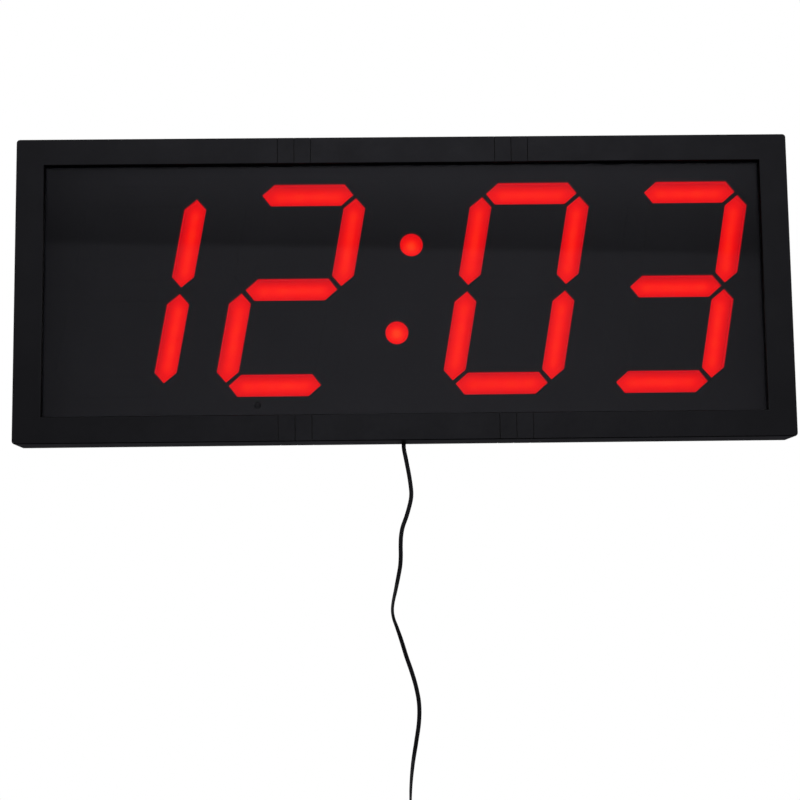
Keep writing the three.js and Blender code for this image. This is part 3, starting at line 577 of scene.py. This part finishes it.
def soften(node, planes, width, segments=3, smooth=False, grooves_within=0.0, spare=None):
    """Rounds a kept CAD node's sharp edges in the given planes, a dict of depth to share of width.
    Upright edges closer to the middle than grooves_within stay sharp: they edge fine grooves.
    So do all edges over the node named by spare: they ring the small sound holes."""
    piece = NODES[node]
    mesh = piece.data
    sharp = sharp_edges(mesh)
    weights = mesh.attributes.new("bevel_weight_edge", "FLOAT", "EDGE")
    for edge in mesh.edges:
        a, b = (mesh.vertices[index].co for index in edge.vertices)
        if ends_of(a, b) not in sharp:
            continue
        in_groove = abs(a.x - b.x) < TOUCH and abs(a.x) < grooves_within
        spared = in_groove or (spare is not None and over(a, spare))
        shares = [share for depth, share in planes.items()
                  if max(abs(a.y - depth), abs(b.y - depth)) < TOUCH and not spared]
        if shares:
            weights.data[edge.index].value = shares[0]
        else:
            edge.use_edge_sharp = True
    modify(piece, "WELD", merge_threshold=TOUCH)
    modify(piece, "DECIMATE", decimate_type="DISSOLVE", angle_limit=math.radians(1))
    modify(piece, "BEVEL", width=width, segments=segments, limit_method="WEIGHT",
           use_clamp_overlap=False, loop_slide=False, face_strength_mode="FSTR_AFFECTED")
    for face in mesh.polygons:
        face.use_smooth = smooth
    if smooth:
        modify(piece, "WEIGHTED_NORMAL", use_face_influence=True, keep_sharp=True)


# ---- display ----
RIGHT, TOP = DIGIT_SPAN_X / 2, DIGIT_SPAN_Z / 2
SEGMENT_PLACES = {  # x, z and whether the segment is upright
    "a": (0, TOP, False), "b": (RIGHT, TOP / 2, True), "c": (RIGHT, -TOP / 2, True),
    "d": (0, -TOP, False), "e": (-RIGHT, -TOP / 2, True), "f": (-RIGHT, TOP / 2, True),
    "g": (0, 0, False),
}


class Bar:
    """One pointed segment of a digit, drawn in by a small inset from the mask's opening."""

    def __init__(self, digit_x, segment, inset, edge):
        self.digit_x = digit_x
        self.edge = edge
        self.x, self.z, self.upright = SEGMENT_PLACES[segment]
        self.span = DIGIT_SPAN_Z / 2 if self.upright else DIGIT_SPAN_X
        self.half_width = SEGMENT_WIDTH / 2 - inset
        slant = math.hypot(SEGMENT_POINT, SEGMENT_WIDTH / 2) / (SEGMENT_WIDTH / 2)
        self.tip = self.span / 2 - SEGMENT_TIP_CLEARANCE - inset * slant
        self.shoulder = self.tip - SEGMENT_POINT * self.half_width / (SEGMENT_WIDTH / 2)

    def at(self, along, across):
        x, z = (across, along) if self.upright else (along, across)
        x, z = self.x + x, self.z + z
        return self.digit_x + x + LEAN * z, z

    def reach(self, along):
        """Half the bar's width there."""
        share = (self.tip - abs(along)) / (self.tip - self.shoulder)
        return self.half_width * min(max(share, 0), 1)

    def outline(self):
        w = self.half_width
        ends = [(self.tip, 0), (self.shoulder, w), (-self.shoulder, w), (-self.tip, 0),
                (-self.shoulder, -w), (self.shoulder, -w)]
        return [self.at(along, across) for along, across in ends]

    def glow(self, along, share):
        """How bright the light pool under the bar is: most along its middle, least at its rim."""
        pitch = self.span / (LEDS_PER_SEGMENT + 1)
        bead = 0
        for i in range(LEDS_PER_SEGMENT):
            led = (i - (LEDS_PER_SEGMENT - 1) / 2) * pitch
            bead = max(bead, math.exp(-((along - led) / (BEAD_REACH * pitch)) ** 2))
        edge = share * self.reach(along) / self.half_width
        tip = smoothstep(abs(along) / self.tip, TIP_DIMS_FROM, 1)
        return (BAR_GLOW * (1 - edge ** 2) * (1 - BEAD_GAIN + BEAD_GAIN * bead)
                * (1 - TIP_FALL * tip))

    def surface(self, mesh, layer, columns):
        """Faces over the bar from columns of (share of its half width, depth, glow or None)."""
        stations = [self.tip * math.sin(math.pi / 2 * i / BAR_STEPS)
                    for i in range(-BAR_STEPS, BAR_STEPS + 1)]
        rows = []
        for along in sorted([*stations, -self.shoulder, self.shoulder]):
            row = []
            for share, depth, glow in columns:
                x, z = self.at(along, share * self.reach(along))
                vertex = mesh.verts.new((x, depth, z))
                vertex[layer] = self.glow(along, share) if glow is None else glow
                row.append(vertex)
            rows.append(row)
        for row, after in zip(rows, rows[1:]):
            for i in range(len(row) - 1):
                mesh.faces.new((row[i], row[i + 1], after[i + 1], after[i]))

    def face(self, mesh, layer, front, back):
        """The raised bar as moulded: a flat face, a rim that rounds back, and sides."""
        inward = self.edge / self.half_width
        rim = [(1, back, 0), (1, front + self.edge, 0),
               (1 - ARC_MIDDLE * inward, front + ARC_MIDDLE * self.edge, 0),
               (1 - inward, front, 0)]
        middle = [(i / 4, front, 0) for i in range(-3, 4)]
        self.surface(mesh, layer, across_and_back(middle, rim))

    def pool(self, mesh, layer, front, floor):
        """The lit inside of the bar's well: dimmer walls and a bright floor over the LEDs."""
        walls = [(1, front, 0.10), (1, (front + floor) / 2, 0.20), (1, floor, None)]
        middle = [(math.sin(math.pi / 2 * i / 8), floor, None) for i in range(-7, 8)]
        self.surface(mesh, layer, across_and_back(middle, walls))


def across_and_back(middle, side):
    """Columns from one side of a bar to the other: the side ones, the middle ones, mirrored."""
    return ([(-share, depth, glow) for share, depth, glow in side] + middle
            + [(share, depth, glow) for share, depth, glow in reversed(side)])


class Dot:
    """One round dot of the colon, drawn in by a small inset from the mask's opening."""

    def __init__(self, z):
        self.centre = (LEAN * z, z)
        self.radius = COLON_RADIUS - BAR_INSET

    def outline(self, share=1):
        return circle(self.radius * share, ROUND_SIDES, self.centre)

    def surface(self, mesh, layer, rings):
        """Round faces from (share of the radius, depth, glow) rings, the outermost first."""
        made = []
        for share, depth, glow in rings:
            ring = [mesh.verts.new((x, depth, z)) for x, z in self.outline(share)]
            for vertex in ring:
                vertex[layer] = glow
            made.append(ring)
        skin(mesh, made)
        mesh.faces.new(made[-1])

    def face(self, mesh, layer, front, back):
        self.surface(mesh, layer, [
            (1, back, 0), (1, front + BAR_EDGE, 0), (0.985, front + ARC_MIDDLE * BAR_EDGE, 0),
            (0.95, front, 0), (0.5, front, 0),
        ])

    def pool(self, mesh, layer, front, floor):
        rings = [(1, front, 0.15), (1, (front + floor) / 2, 0.25), (1, floor, 0.4)]
        rings += [(share, floor, 1 - 0.6 * share ** 2)
                  for share in (0.9, 0.8, 0.68, 0.55, 0.4, 0.25, 0.1)]
        self.surface(mesh, layer, rings)


def make_module(name, outline, lit, unlit=()):
    """A diffuser in three pieces: smoked plate, clear red faces, and the light behind them."""
    node = f"{name}_diffuser"
    low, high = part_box(node)
    plate_front = high.y - DIFFUSER_PLATE
    side_back = plate_front + INTO_PLATE
    pool_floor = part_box(f"{name}_led_board")[0].y - POOL_ABOVE_LEDS
    plate = flat_plate(outline, [shape.outline() for shape in lit], DIFFUSER_PLATE, PLATE_EDGE)
    plate.transform(Matrix.Translation((0, plate_front + DIFFUSER_PLATE / 2, 0)))
    faces, pools = bmesh.new(), bmesh.new()
    on_plate, on_faces, on_pools = (mesh.verts.layers.float.new("glow")
                                    for mesh in (plate, faces, pools))
    for shape in unlit:
        shape.face(plate, on_plate, low.y, side_back)
    for shape in lit:
        shape.face(faces, on_faces, low.y, side_back)
        shape.pool(pools, on_pools, plate_front, pool_floor)
    new_piece(f"{name}_diffuser_plate", plate, "segment_diffuser", node)
    new_piece(f"{name}_lit_faces", faces, "segment_face", node)
    new_piece(f"{name}_light_pools", pools, "segment_lit", node,
              seen_from_inside=True)


def make_digit(number, lit):
    low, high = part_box(f"digit_{number}_diffuser")
    digit_x = (low.x + high.x) / 2
    half_height = (high.z - low.z) / 2
    half_width = (high.x - low.x) / 2 - LEAN * half_height
    corners = [(-1, -1), (1, -1), (1, 1), (-1, 1)]
    outline = [(digit_x + a * half_width + LEAN * b * half_height, b * half_height)
               for a, b in corners]
    make_module(f"digit_{number}", outline,
                [Bar(digit_x, segment, BAR_INSET, BAR_EDGE) for segment in lit],
                [Bar(digit_x, segment, UNLIT_INSET, UNLIT_EDGE)
                 for segment in "abcdefg" if segment not in lit])


def make_colon():
    low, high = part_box("colon_diffuser")
    outline = round_box(high.x - low.x, high.z - low.z, 1 * MM)
    make_module("colon", outline, [Dot(COLON_Z), Dot(-COLON_Z)])


def make_display():
    for index, lit in enumerate(READING):
        make_digit(index + 1, lit)
    make_colon()


def make_receiver():
    """A black epoxy block whose domed lens looks out through the mask."""
    low, high, centre = extent("ir_receiver")
    block_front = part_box("digit_1_light_box")[0].y + 0.3 * MM
    mesh = bmesh.new()
    layers = [(0.5, 0), (0.15, 0.15), (0, 0.5), (0, 0.9), (0.1, 1)]
    rings = []
    for inset, share in layers:
        depth = block_front + share * (high.y - block_front)
        width, height = (size - 2 * inset * MM for size in (high.x - low.x, high.z - low.z))
        outline = round_box(width, height, 0.5 * MM)
        rings.append([(centre.x + x, depth, centre.z + z) for x, z in outline])
    loft(mesh, rings)
    length = block_front - low.y
    lens = RECEIVER_LENS
    profile = [(lens * math.cos(a), -length + lens * (1 - math.sin(a)))
               for a in (math.pi / 2 * i / 10 for i in range(10, -1, -1))]
    turned(mesh, [*profile, (lens, 0.3 * MM)], "Y", (centre.x, block_front, centre.z), 32)
    new_piece("ir_receiver_lens", mesh, "component_plastic", "ir_receiver")


# ---- screws ----
COVER_SCREW = {"head": 3.2 * MM, "head_height": 1.2 * MM, "shank": 1.5 * MM, "length": 10 * MM}
BOARD_SCREW = {"head": 2.6 * MM, "head_height": 1.3 * MM, "shank": 1.25 * MM}
THREAD_PITCH = 0.9 * MM


def screw_mesh(head, head_height, shank, length):
    """A pan-head screw along +Y, its head's underside at y = 0, with thread and a cross recess."""
    thread = []
    turns = int((length - 2 * MM) / THREAD_PITCH)
    for i in range(turns):
        start = -length + 1.2 * MM + i * THREAD_PITCH
        thread += [(shank * 0.74, start), (shank, start + THREAD_PITCH / 2)]
    outline = [(POLE, -length), (shank * 0.35, -length), *thread, (shank * 0.8, -0.6 * MM),
               (shank, 0), (head * 0.98, 0), (head, head_height * 0.45),
               (head * 0.72, head_height), (POLE, head_height)]
    body = bmesh.new()
    turned(body, rounded(outline, 0.25 * MM, 3), "Y", (0, 0, 0), 32)
    cross = bmesh.new()
    arm, width = head * 0.62, head * 0.17
    top, floor = head_height + 0.2 * MM, head_height * 0.25
    points, quarter = [], [(arm, width), (width, width), (width, arm)]
    for _ in range(4):
        points += quarter
        quarter = [(-z, x) for x, z in quarter]
    ends = ((floor, 0.55), (top, 1.08))
    loft(cross, [[(x * size, y, z * size) for x, z in points] for y, size in ends])
    return carve(body, cross)


def make_screws(prefix, count, head, head_height, shank, length, towards=1):
    """One piece for each screw node, all of one shape, with different turns of the cross."""
    pattern = screw_mesh(head, head_height, shank, length)
    for number in range(1, count + 1):
        node = f"{prefix}_{number}"
        low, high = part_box(node)
        under_head = high.y - head_height if towards > 0 else low.y + head_height
        mesh = pattern.copy()
        turn = Matrix.Rotation(math.radians(23 * number), 4, "Y")
        flip = Matrix.Identity(4) if towards > 0 else Matrix.Rotation(math.pi, 4, "Z")
        where = Matrix.Translation(((low.x + high.x) / 2, under_head, (low.z + high.z) / 2))
        mesh.transform(where @ flip @ turn)
        new_piece(f"{node}_cross_head", mesh, "screw_steel", node, smooth_below=30)
    pattern.free()


# ---- back of the casing ----
def make_buttons():
    for name in ("mode", "up", "down"):
        node = f"{name}_button"
        low, high, centre = extent(node)
        flange, cap = (high.x - low.x) / 2, 4 * MM
        inside = -2.8 * MM
        face = high.y
        profile = [
            (POLE, low.y), (2 * MM, low.y), (2 * MM, inside - 1 * MM), (flange, inside - 1 * MM),
            (flange, inside), (cap, inside), (cap, face - 0.05 * MM),
            (cap * 0.86, face), (cap * 0.5, face - 0.28 * MM), (POLE, face - 0.38 * MM),
        ]
        mesh = bmesh.new()
        turned(mesh, rounded(profile, 0.35 * MM), "Y", (centre.x, 0, centre.z))
        new_piece(f"{name}_button_cap", mesh, "button_plastic", node, body=node)


def make_battery_door():
    """A flat lid with soft edges and a scooped fingernail recess."""
    low, high, centre = extent("battery_door")
    outline = round_box(high.x - low.x, high.z - low.z, 1 * MM)
    mesh = flat_plate(outline, [], high.y - low.y, 0.3 * MM)
    mesh.transform(Matrix.Translation(centre))
    scoop = bmesh.new()
    nail = Vector((centre.x, high.y + 2.2 * MM, high.z - 3.3 * MM))
    bmesh.ops.create_uvsphere(scoop, u_segments=40, v_segments=20, radius=3 * MM)
    scoop.transform(Matrix.Translation(nail) @ Matrix.Diagonal((2.1, 1, 0.75, 1)))
    new_piece("battery_door_lid", carve(mesh, scoop), "cover_plastic", "battery_door",
              body="battery_door", smooth_below=30)


def make_coin_cell():
    """A pressed steel can over its insulating ring, with a shallow dish in its face."""
    low, high, centre = extent("coin_cell")
    radius = (high.x - low.x) / 2
    profile = [
        (POLE, low.y), (radius * 0.86, low.y), (radius * 0.86, low.y + 0.35 * MM),
        (radius, low.y + 0.35 * MM), (radius, high.y), (radius * 0.9, high.y),
        (radius * 0.86, high.y - 0.12 * MM), (POLE, high.y - 0.12 * MM),
    ]
    mesh = bmesh.new()
    turned(mesh, rounded(profile, 0.5 * MM), "Y", (centre.x, 0, centre.z), 72)
    new_piece("coin_cell_can", mesh, "cell_steel", "coin_cell", smooth_below=30)


def make_cell_contact():
    """The sprung strip that bears on the cell's face from the holder's edge."""
    low, high, centre = extent("battery_holder")
    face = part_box("coin_cell")[1].y
    width, thick = 4 * MM, 0.3 * MM
    reach = [(low.x + 0.8 * MM, high.y + 0.15 * MM), (low.x + 3.2 * MM, high.y + 0.2 * MM),
             (low.x + 6.5 * MM, face + 0.35 * MM), (low.x + 9 * MM, face + 0.12 * MM),
             (low.x + 11 * MM, face + 0.5 * MM)]
    spine = catmull_rom([Vector((x, y, 0)) for x, y in reach], 5)
    rings = []
    for point in spine:
        rings.append([(point.x, point.y + lift, centre.z + side * width / 2)
                      for side, lift in ((-1, 0), (1, 0), (1, thick), (-1, thick))])
    mesh = bmesh.new()
    loft(mesh, rings)
    new_piece("battery_holder_contact", mesh, "prong_metal", smooth_below=50)


# ---- lead ----
def coil_line():
    """Twelve turns in four layers, going down at the coil's left side at both ends."""
    centre = extent("cord_coil")[2]
    radii = [COIL_MEAN_RADIUS + (COIL_ROWS // 2 - row) * CORD_WIDTH for row in range(COIL_ROWS)]
    turns = []
    for layer in range(COIL_LAYERS):
        depth = centre.y + (layer - (COIL_LAYERS - 1) / 2) * CORD_WIDTH
        turns += [(radius, depth) for radius in (radii if layer % 2 == 0 else reversed(radii))]
    points_per_turn = 30
    line = []
    for here, after in zip(turns, [*turns[1:], turns[-1]]):
        for i in range(points_per_turn):
            share = i / points_per_turn
            ease = smoothstep(share, 0.6, 1)
            radius = here[0] + (after[0] - here[0]) * ease
            depth = here[1] + (after[1] - here[1]) * ease
            angle = math.pi + 2 * math.pi * share
            line.append(Vector((centre.x + radius * math.cos(angle), depth,
                                centre.z + radius * math.sin(angle))))
    return line


def cord_line():
    """The lead's whole centre line, and how far each point is rolled about it."""
    coil = coil_line()
    hanging = [Vector((x * MM, CORD_Y, z * MM)) for x, z in CORD_ROUTE]
    for point in hanging:
        point.y += (coil[0].y - CORD_Y) * smoothstep(-point.z, *DRIFTS_TO_COIL)
    start = Vector((0, coil[-1].y, coil[0].z))
    boot_top = Vector((0, CORD_Y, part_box("adapter_boot")[1].z))
    leaving = []
    for i in range(13):
        share = i / 12
        point = start.lerp(boot_top, share)
        point.y = start.y + (boot_top.y - start.y) * smoothstep(share, 0.3, 1)
        leaving.append(point)
    inside_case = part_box("adapter_case")[1].z - CORD_INTO_CASE
    leaving += [Vector((0, CORD_Y, boot_top.z + (inside_case - boot_top.z) * i / 8))
                for i in range(1, 9)]
    down = catmull_rom(hanging, 6)
    rolls = []
    for point in down:
        edge_on = math.exp(-((point.z - EDGE_ON_Z) / EDGE_ON_REACH) ** 2)
        to_coil = smoothstep(-point.z, *TURNS_TO_COIL)
        rolls.append(EDGE_ON_ROLL * edge_on + math.pi / 2 * to_coil)
    rolls += [math.pi / 2] * (len(coil) + len(leaving))
    return down + coil + leaving, rolls


def twin_section(sides=24):
    """The flat twin lead's outline: two round cores with a shallow waist between them."""
    points = []
    for i in range(sides):
        angle = 2 * math.pi * i / sides
        across = math.cos(angle) * CORD_WIDTH / 2
        waist = math.exp(-(across / (0.22 * CORD_WIDTH)) ** 2)
        half = CORD_THICKNESS / 2 - (CORD_THICKNESS - CORD_WAIST) / 2 * waist
        up = math.copysign(abs(math.sin(angle)) ** 0.8, math.sin(angle)) * half
        points.append((across, up))
    return points


def sweep(mesh, line, section, rolls):
    """The section's (across, up) points carried along the line without twist, plus a roll."""
    across = Vector((1, 0, 0))
    last = len(line) - 1
    rings = []
    for i, (point, roll) in enumerate(zip(line, rolls)):
        tangent = (line[min(i + 1, last)] - line[max(i - 1, 0)]).normalized()
        across = (across - tangent * across.dot(tangent)).normalized()
        side = Matrix.Rotation(roll, 3, tangent) @ across
        up = tangent.cross(side)
        rings.append([point + side * x + up * y for x, y in section])
    loft(mesh, rings)


def make_cord(carried):
    line, rolls = cord_line()
    mesh = bmesh.new()
    sweep(mesh, line, twin_section(), rolls)
    lead = new_piece("lead", mesh, "cord_sheath", "power_cord cord_coil")


def make_grommet():
    """A soft bush in the casing's underside, its mouth rounded where the lead comes out."""
    low, high, centre = extent("cord_grommet")
    bore, neck, flange = 1.8 * MM, 3.7 * MM, (high.x - low.x) / 2
    flange_low = low.z + 2.8 * MM
    profile = [
        (bore, high.z), (bore, low.z + 0.8 * MM), (bore + 0.7 * MM, low.z), (neck, low.z),
        (neck, flange_low), (flange, flange_low), (flange, high.z), (bore, high.z),
    ]
    mesh = bmesh.new()
    turned(mesh, rounded(profile, 0.4 * MM), "Z", (centre.x, centre.y, 0), capped=False)
    new_piece("cord_grommet_bush", mesh, "soft_rubber", "cord_grommet")


def make_tie():
    """A flexible band round all the turns, with its tail folded flat against it."""
    low, high, centre = extent("cord_tie")
    thickness = 0.9 * MM
    width, depth = high.x - low.x, high.y - low.y
    mesh = bmesh.new()
    outer = round_box(width, depth, 2 * MM)
    inner = round_box(width - 2 * thickness, depth - 2 * thickness, 1.3 * MM)
    half = (high.z - low.z) / 2
    rim = 0.25 * MM
    middle = [((a[0] + b[0]) / 2, (a[1] + b[1]) / 2) for a, b in zip(outer, inner)]
    loops = [(inner, -half + rim), (inner, half - rim), (middle, half), (outer, half - rim),
             (outer, -half + rim), (middle, -half), (inner, -half + rim)]
    loft(mesh, [[centre + Vector((x, y, height)) for x, y in loop] for loop, height in loops],
         capped=False)
    for side in (-1, 1):
        tail = catmull_rom([
            centre + Vector((width / 2 - x * MM, -depth / 2 + y * MM, side * half * along))
            for x, y, along in ((1.2, 0.5, 0.3), (0.9, 0.6, 1.6), (2.2, 0.7, 3.2))
        ], 6)
        section = [(x * 1.2 * MM, y * 0.4 * MM) for x, y in circle(1, 12)]
        sweep(mesh, tail, section, [0] * len(tail))
    return new_piece("cord_tie_band", mesh, "soft_rubber", "cord_tie")


def make_boot():
    """A tapered strain relief with flexing grooves cut across it."""
    low, high, centre = extent("adapter_boot")
    length = high.z - low.z
    bottom, top = (high.x - low.x) / 2, 2.2 * MM
    profile = [(POLE, low.z), (bottom, low.z), (bottom, low.z + 3 * MM)]
    grooves = 6
    first, pitch, gap = low.z + 4 * MM, 2.6 * MM, 1.1 * MM
    for i in range(grooves):
        for z, cut in ((first + i * pitch, 0), (first + i * pitch + 0.2 * MM, 1),
                       (first + i * pitch + gap, 1), (first + i * pitch + gap + 0.2 * MM, 0)):
            radius = bottom + (top - bottom) * (z - low.z) / length
            profile.append((radius * (0.78 if cut else 1), z))
    profile += [(top, high.z), (POLE, high.z)]
    mesh = bmesh.new()
    turned(mesh, rounded(profile, 0.3 * MM, 2), "Z", (centre.x, centre.y, 0), 40)
    return new_piece("adapter_boot_relief", mesh, "soft_rubber", "adapter_boot", smooth_below=50)


def make_adapter():
    """Two moulded shells that meet at a fine seam, with rounded edges."""
    low, high, centre = extent("adapter_case")
    width, depth = high.x - low.x, high.y - low.y
    edge, seam = 2.2 * MM, low.z + 11 * MM
    angles = [math.pi / 2 * i / 6 for i in range(7)]
    rim = [(edge * (1 - math.sin(angle)), edge * (1 - math.cos(angle))) for angle in angles]
    layers = [(inset, low.z + rise) for inset, rise in rim]
    layers += [(0, seam - 0.35 * MM), (0.4 * MM, seam - 0.2 * MM), (0.4 * MM, seam + 0.2 * MM),
               (0, seam + 0.35 * MM)]
    layers += [(inset, high.z - rise) for inset, rise in reversed(rim)]
    rings = []
    for inset, z in layers:
        outline = round_box(width - 2 * inset, depth - 2 * inset, 4 * MM - inset * 0.9)
        rings.append([(centre.x + x, centre.y + y, z) for x, y in outline])
    mesh = bmesh.new()
    loft(mesh, rings)
    return new_piece("adapter_shell", mesh, "adapter_plastic", "adapter_case")


def make_prongs():
    """Flat blades with chamfered tips, soft edges and a round hole near the end."""
    made = []
    for side in ("left", "right"):
        node = f"adapter_prong_{side}"
        low, high, centre = extent(node)
        width, length = high.y - low.y, high.z - low.z
        half, end, chamfer = width / 2, length / 2, 1.6 * MM
        outline = [(-half, end), (-half, -end + chamfer), (-half + chamfer * 0.7, -end),
                   (half - chamfer * 0.7, -end), (half, -end + chamfer), (half, end)]
        hole = circle(1.6 * MM, 32, (0, -end + 4.2 * MM))
        mesh = flat_plate(outline, [hole], high.x - low.x, 0.2 * MM)
        mesh.transform(Matrix.Translation(centre) @ Matrix.Rotation(math.pi / 2, 4, "Z"))
        made.append(new_piece(f"{node}_blade", mesh, "prong_metal", node))
    return made


# ---- stage ----
LIGHT_AIM = Vector((0, 0, -0.1))
FLOOR_RADIUS = 2.6
FLOOR_Z = -0.62

# How bright the studio's wall is at each height before the display, from below to above,
# and how that fades to each side.
ROOM_LEVELS = [
    (0.08, 0.04), (0.22, 0.20), (0.30, 0.98), (0.4195, 0.88), (0.4205, 0.40), (0.445, 0.70),
    (0.47, 1.15), (0.50, 1.40), (0.56, 1.0), (1.0, 0.12),
]
SIDE_LEVELS = [(0.0, 0.75), (0.10, 0.69), (0.20, 0.56), (0.26, 0.36), (0.37, 0.07), (1.0, 0.03)]


def make_floor():
    """A wide pale floor below the adapter. Only the camera sees it: it throws no light back."""
    bpy.ops.mesh.primitive_circle_add(vertices=96, radius=FLOOR_RADIUS, fill_type="NGON",
                                      location=(0, 0, FLOOR_Z))
    floor = bpy.context.object
    floor.name = "floor"
    floor.visible_glossy = False
    floor.visible_diffuse = False
    material, tree, shader = new_material("floor_paper", Roughness=0.7)
    tone = blend(tree, noise(tree, 0.4, 3), grey(0.80), grey(0.84))
    connect(tree, shader, Base_Color=tone)
    reach = add_node(tree, "ShaderNodeVectorMath", {0: place(tree)}, operation="LENGTH")
    fade = remap(tree, reach.outputs["Value"], 0, 1, 0.5, 1.9)
    white = add_node(tree, "ShaderNodeEmission", {"Color": grey(1), "Strength": 1.0})
    mix = add_node(tree, "ShaderNodeMixShader", {0: fade, 1: shader.outputs[0], 2: white.outputs[0]})
    tree.links.new(mix.outputs[0], tree.nodes["Material Output"].inputs["Surface"])
    floor.data.materials.append(material)


def make_world():
    """White behind the object, and a dim studio for everything that light reflects from: a wall
    in front of the display under a darker ceiling, brightest in the middle, and dark behind."""
    world = bpy.data.worlds.new("studio")
    bpy.context.scene.world = world
    world.use_nodes = True
    tree = world.node_tree
    tree.nodes.clear()
    direction = add_node(tree, "ShaderNodeTexCoord").outputs["Generated"]
    split = add_node(tree, "ShaderNodeSeparateXYZ", {"Vector": direction}).outputs
    forward = calculate(tree, "MULTIPLY", split["Y"], -1.0)
    depth = calculate(tree, "MAXIMUM", forward, 0.05)
    side = calculate(tree, "DIVIDE", split["X"], depth)
    tilt = calculate(tree, "MULTIPLY", side, 0.025)
    height = calculate(tree, "ADD", calculate(tree, "DIVIDE", split["Z"], depth), tilt)
    room = levels(tree, calculate(tree, "ADD", height, 0.2), ROOM_LEVELS)
    off_centre = calculate(tree, "ABSOLUTE", calculate(tree, "ADD", side, -0.035))
    wall = calculate(tree, "MULTIPLY", room, levels(tree, off_centre, SIDE_LEVELS))
    behind = remap(tree, split["Z"], 0.04, 0.2, -0.2, 0.6)
    facing = remap(tree, forward, 0, 1, 0.0, 0.2)
    level = add_node(tree, "ShaderNodeMix", {0: facing, 2: behind, 3: wall}).outputs[0]
    tint = (0.97, 0.96, 1.10, 1)
    studio = add_node(tree, "ShaderNodeBackground", {"Color": tint, "Strength": level})
    backdrop = add_node(tree, "ShaderNodeBackground", {"Color": grey(1), "Strength": 1.0})
    seen = add_node(tree, "ShaderNodeLightPath").outputs["Is Camera Ray"]
    shown = {0: seen, 1: studio.outputs[0], 2: backdrop.outputs[0]}
    mix = add_node(tree, "ShaderNodeMixShader", shown)
    output = add_node(tree, "ShaderNodeOutputWorld")
    tree.links.new(mix.outputs[0], output.inputs["Surface"])


def add_softbox(name, place_at, size, watts, glossy=True):
    data = bpy.data.lights.new(name, "AREA")
    data.energy = watts
    data.shape = "RECTANGLE"
    data.size, data.size_y = size
    light = bpy.data.objects.new(name, data)
    light.location = place_at
    light.rotation_mode = "QUATERNION"
    light.rotation_quaternion = (LIGHT_AIM - Vector(place_at)).to_track_quat("-Z", "Y")
    light.visible_camera = False
    light.visible_glossy = glossy
    bpy.context.scene.collection.objects.link(light)


def make_lights():
    add_softbox("key", (-1.3, -1.4, 1.7), (1.2, 1.0), 2.2)
    add_softbox("fill", (1.7, -1.2, 1.2), (1.2, 1.0), 1.6)
    add_softbox("back_left", (-1.2, 1.5, 1.1), (1.2, 1.0), 60, glossy=False)
    add_softbox("back_right", (1.3, 1.4, 0.5), (1.0, 1.0), 35, glossy=False)
    add_softbox("back_level", (0.3, 2.2, 0.3), (1.4, 0.4), 14)
    add_softbox("left", (-2.1, -0.5, 0.3), (0.8, 1.4), 4)
    add_softbox("right", (2.1, -0.4, 0.3), (0.8, 1.4), 5)
    add_softbox("top", (0, 0.3, 1.9), (1.6, 1.0), 8, glossy=False)


def make_camera():
    heading = Matrix.Rotation(-CAMERA_YAW, 4, "Z")
    tilt = Matrix.Rotation(math.pi / 2 + CAMERA_PITCH, 4, "X")
    roll = Matrix.Rotation(CAMERA_ROLL, 4, "Z")
    data = bpy.data.cameras.new("camera")
    data.lens = CAMERA_LENS
    data.sensor_width = 36
    camera = bpy.data.objects.new("camera", data)
    camera.matrix_world = Matrix.Translation(CAMERA_PLACE) @ heading @ tilt @ roll
    bpy.context.scene.collection.objects.link(camera)
    bpy.context.scene.camera = camera


make_camera()
finish_cad_nodes()
make_display()
make_receiver()
make_screws("cover_screw", 6, **COVER_SCREW)
make_screws("led_board_screw", 5, **BOARD_SCREW, length=7 * MM)
make_screws("control_board_screw", 2, **BOARD_SCREW, length=6 * MM, towards=-1)
make_buttons()
make_battery_door()
make_coin_cell()
make_cell_contact()
make_grommet()
make_cord([make_tie(), make_boot(), make_adapter(), *make_prongs()])
soften("front_frame", {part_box("front_frame")[0].y: 1, 0: 0.5}, 0.7 * MM, smooth=True,
       grooves_within=0.1)
soften("rear_cover", {0: 1}, 0.3 * MM, 2, spare="buzzer")
soften("window_panel", {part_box("window_panel")[0].y: 1}, 0.3 * MM, 2)
soften("battery_holder", {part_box("battery_holder")[1].y: 1}, 0.25 * MM, 2)
make_floor()
make_world()
make_lights()

bpy.context.scene.view_settings.view_transform = "Standard"
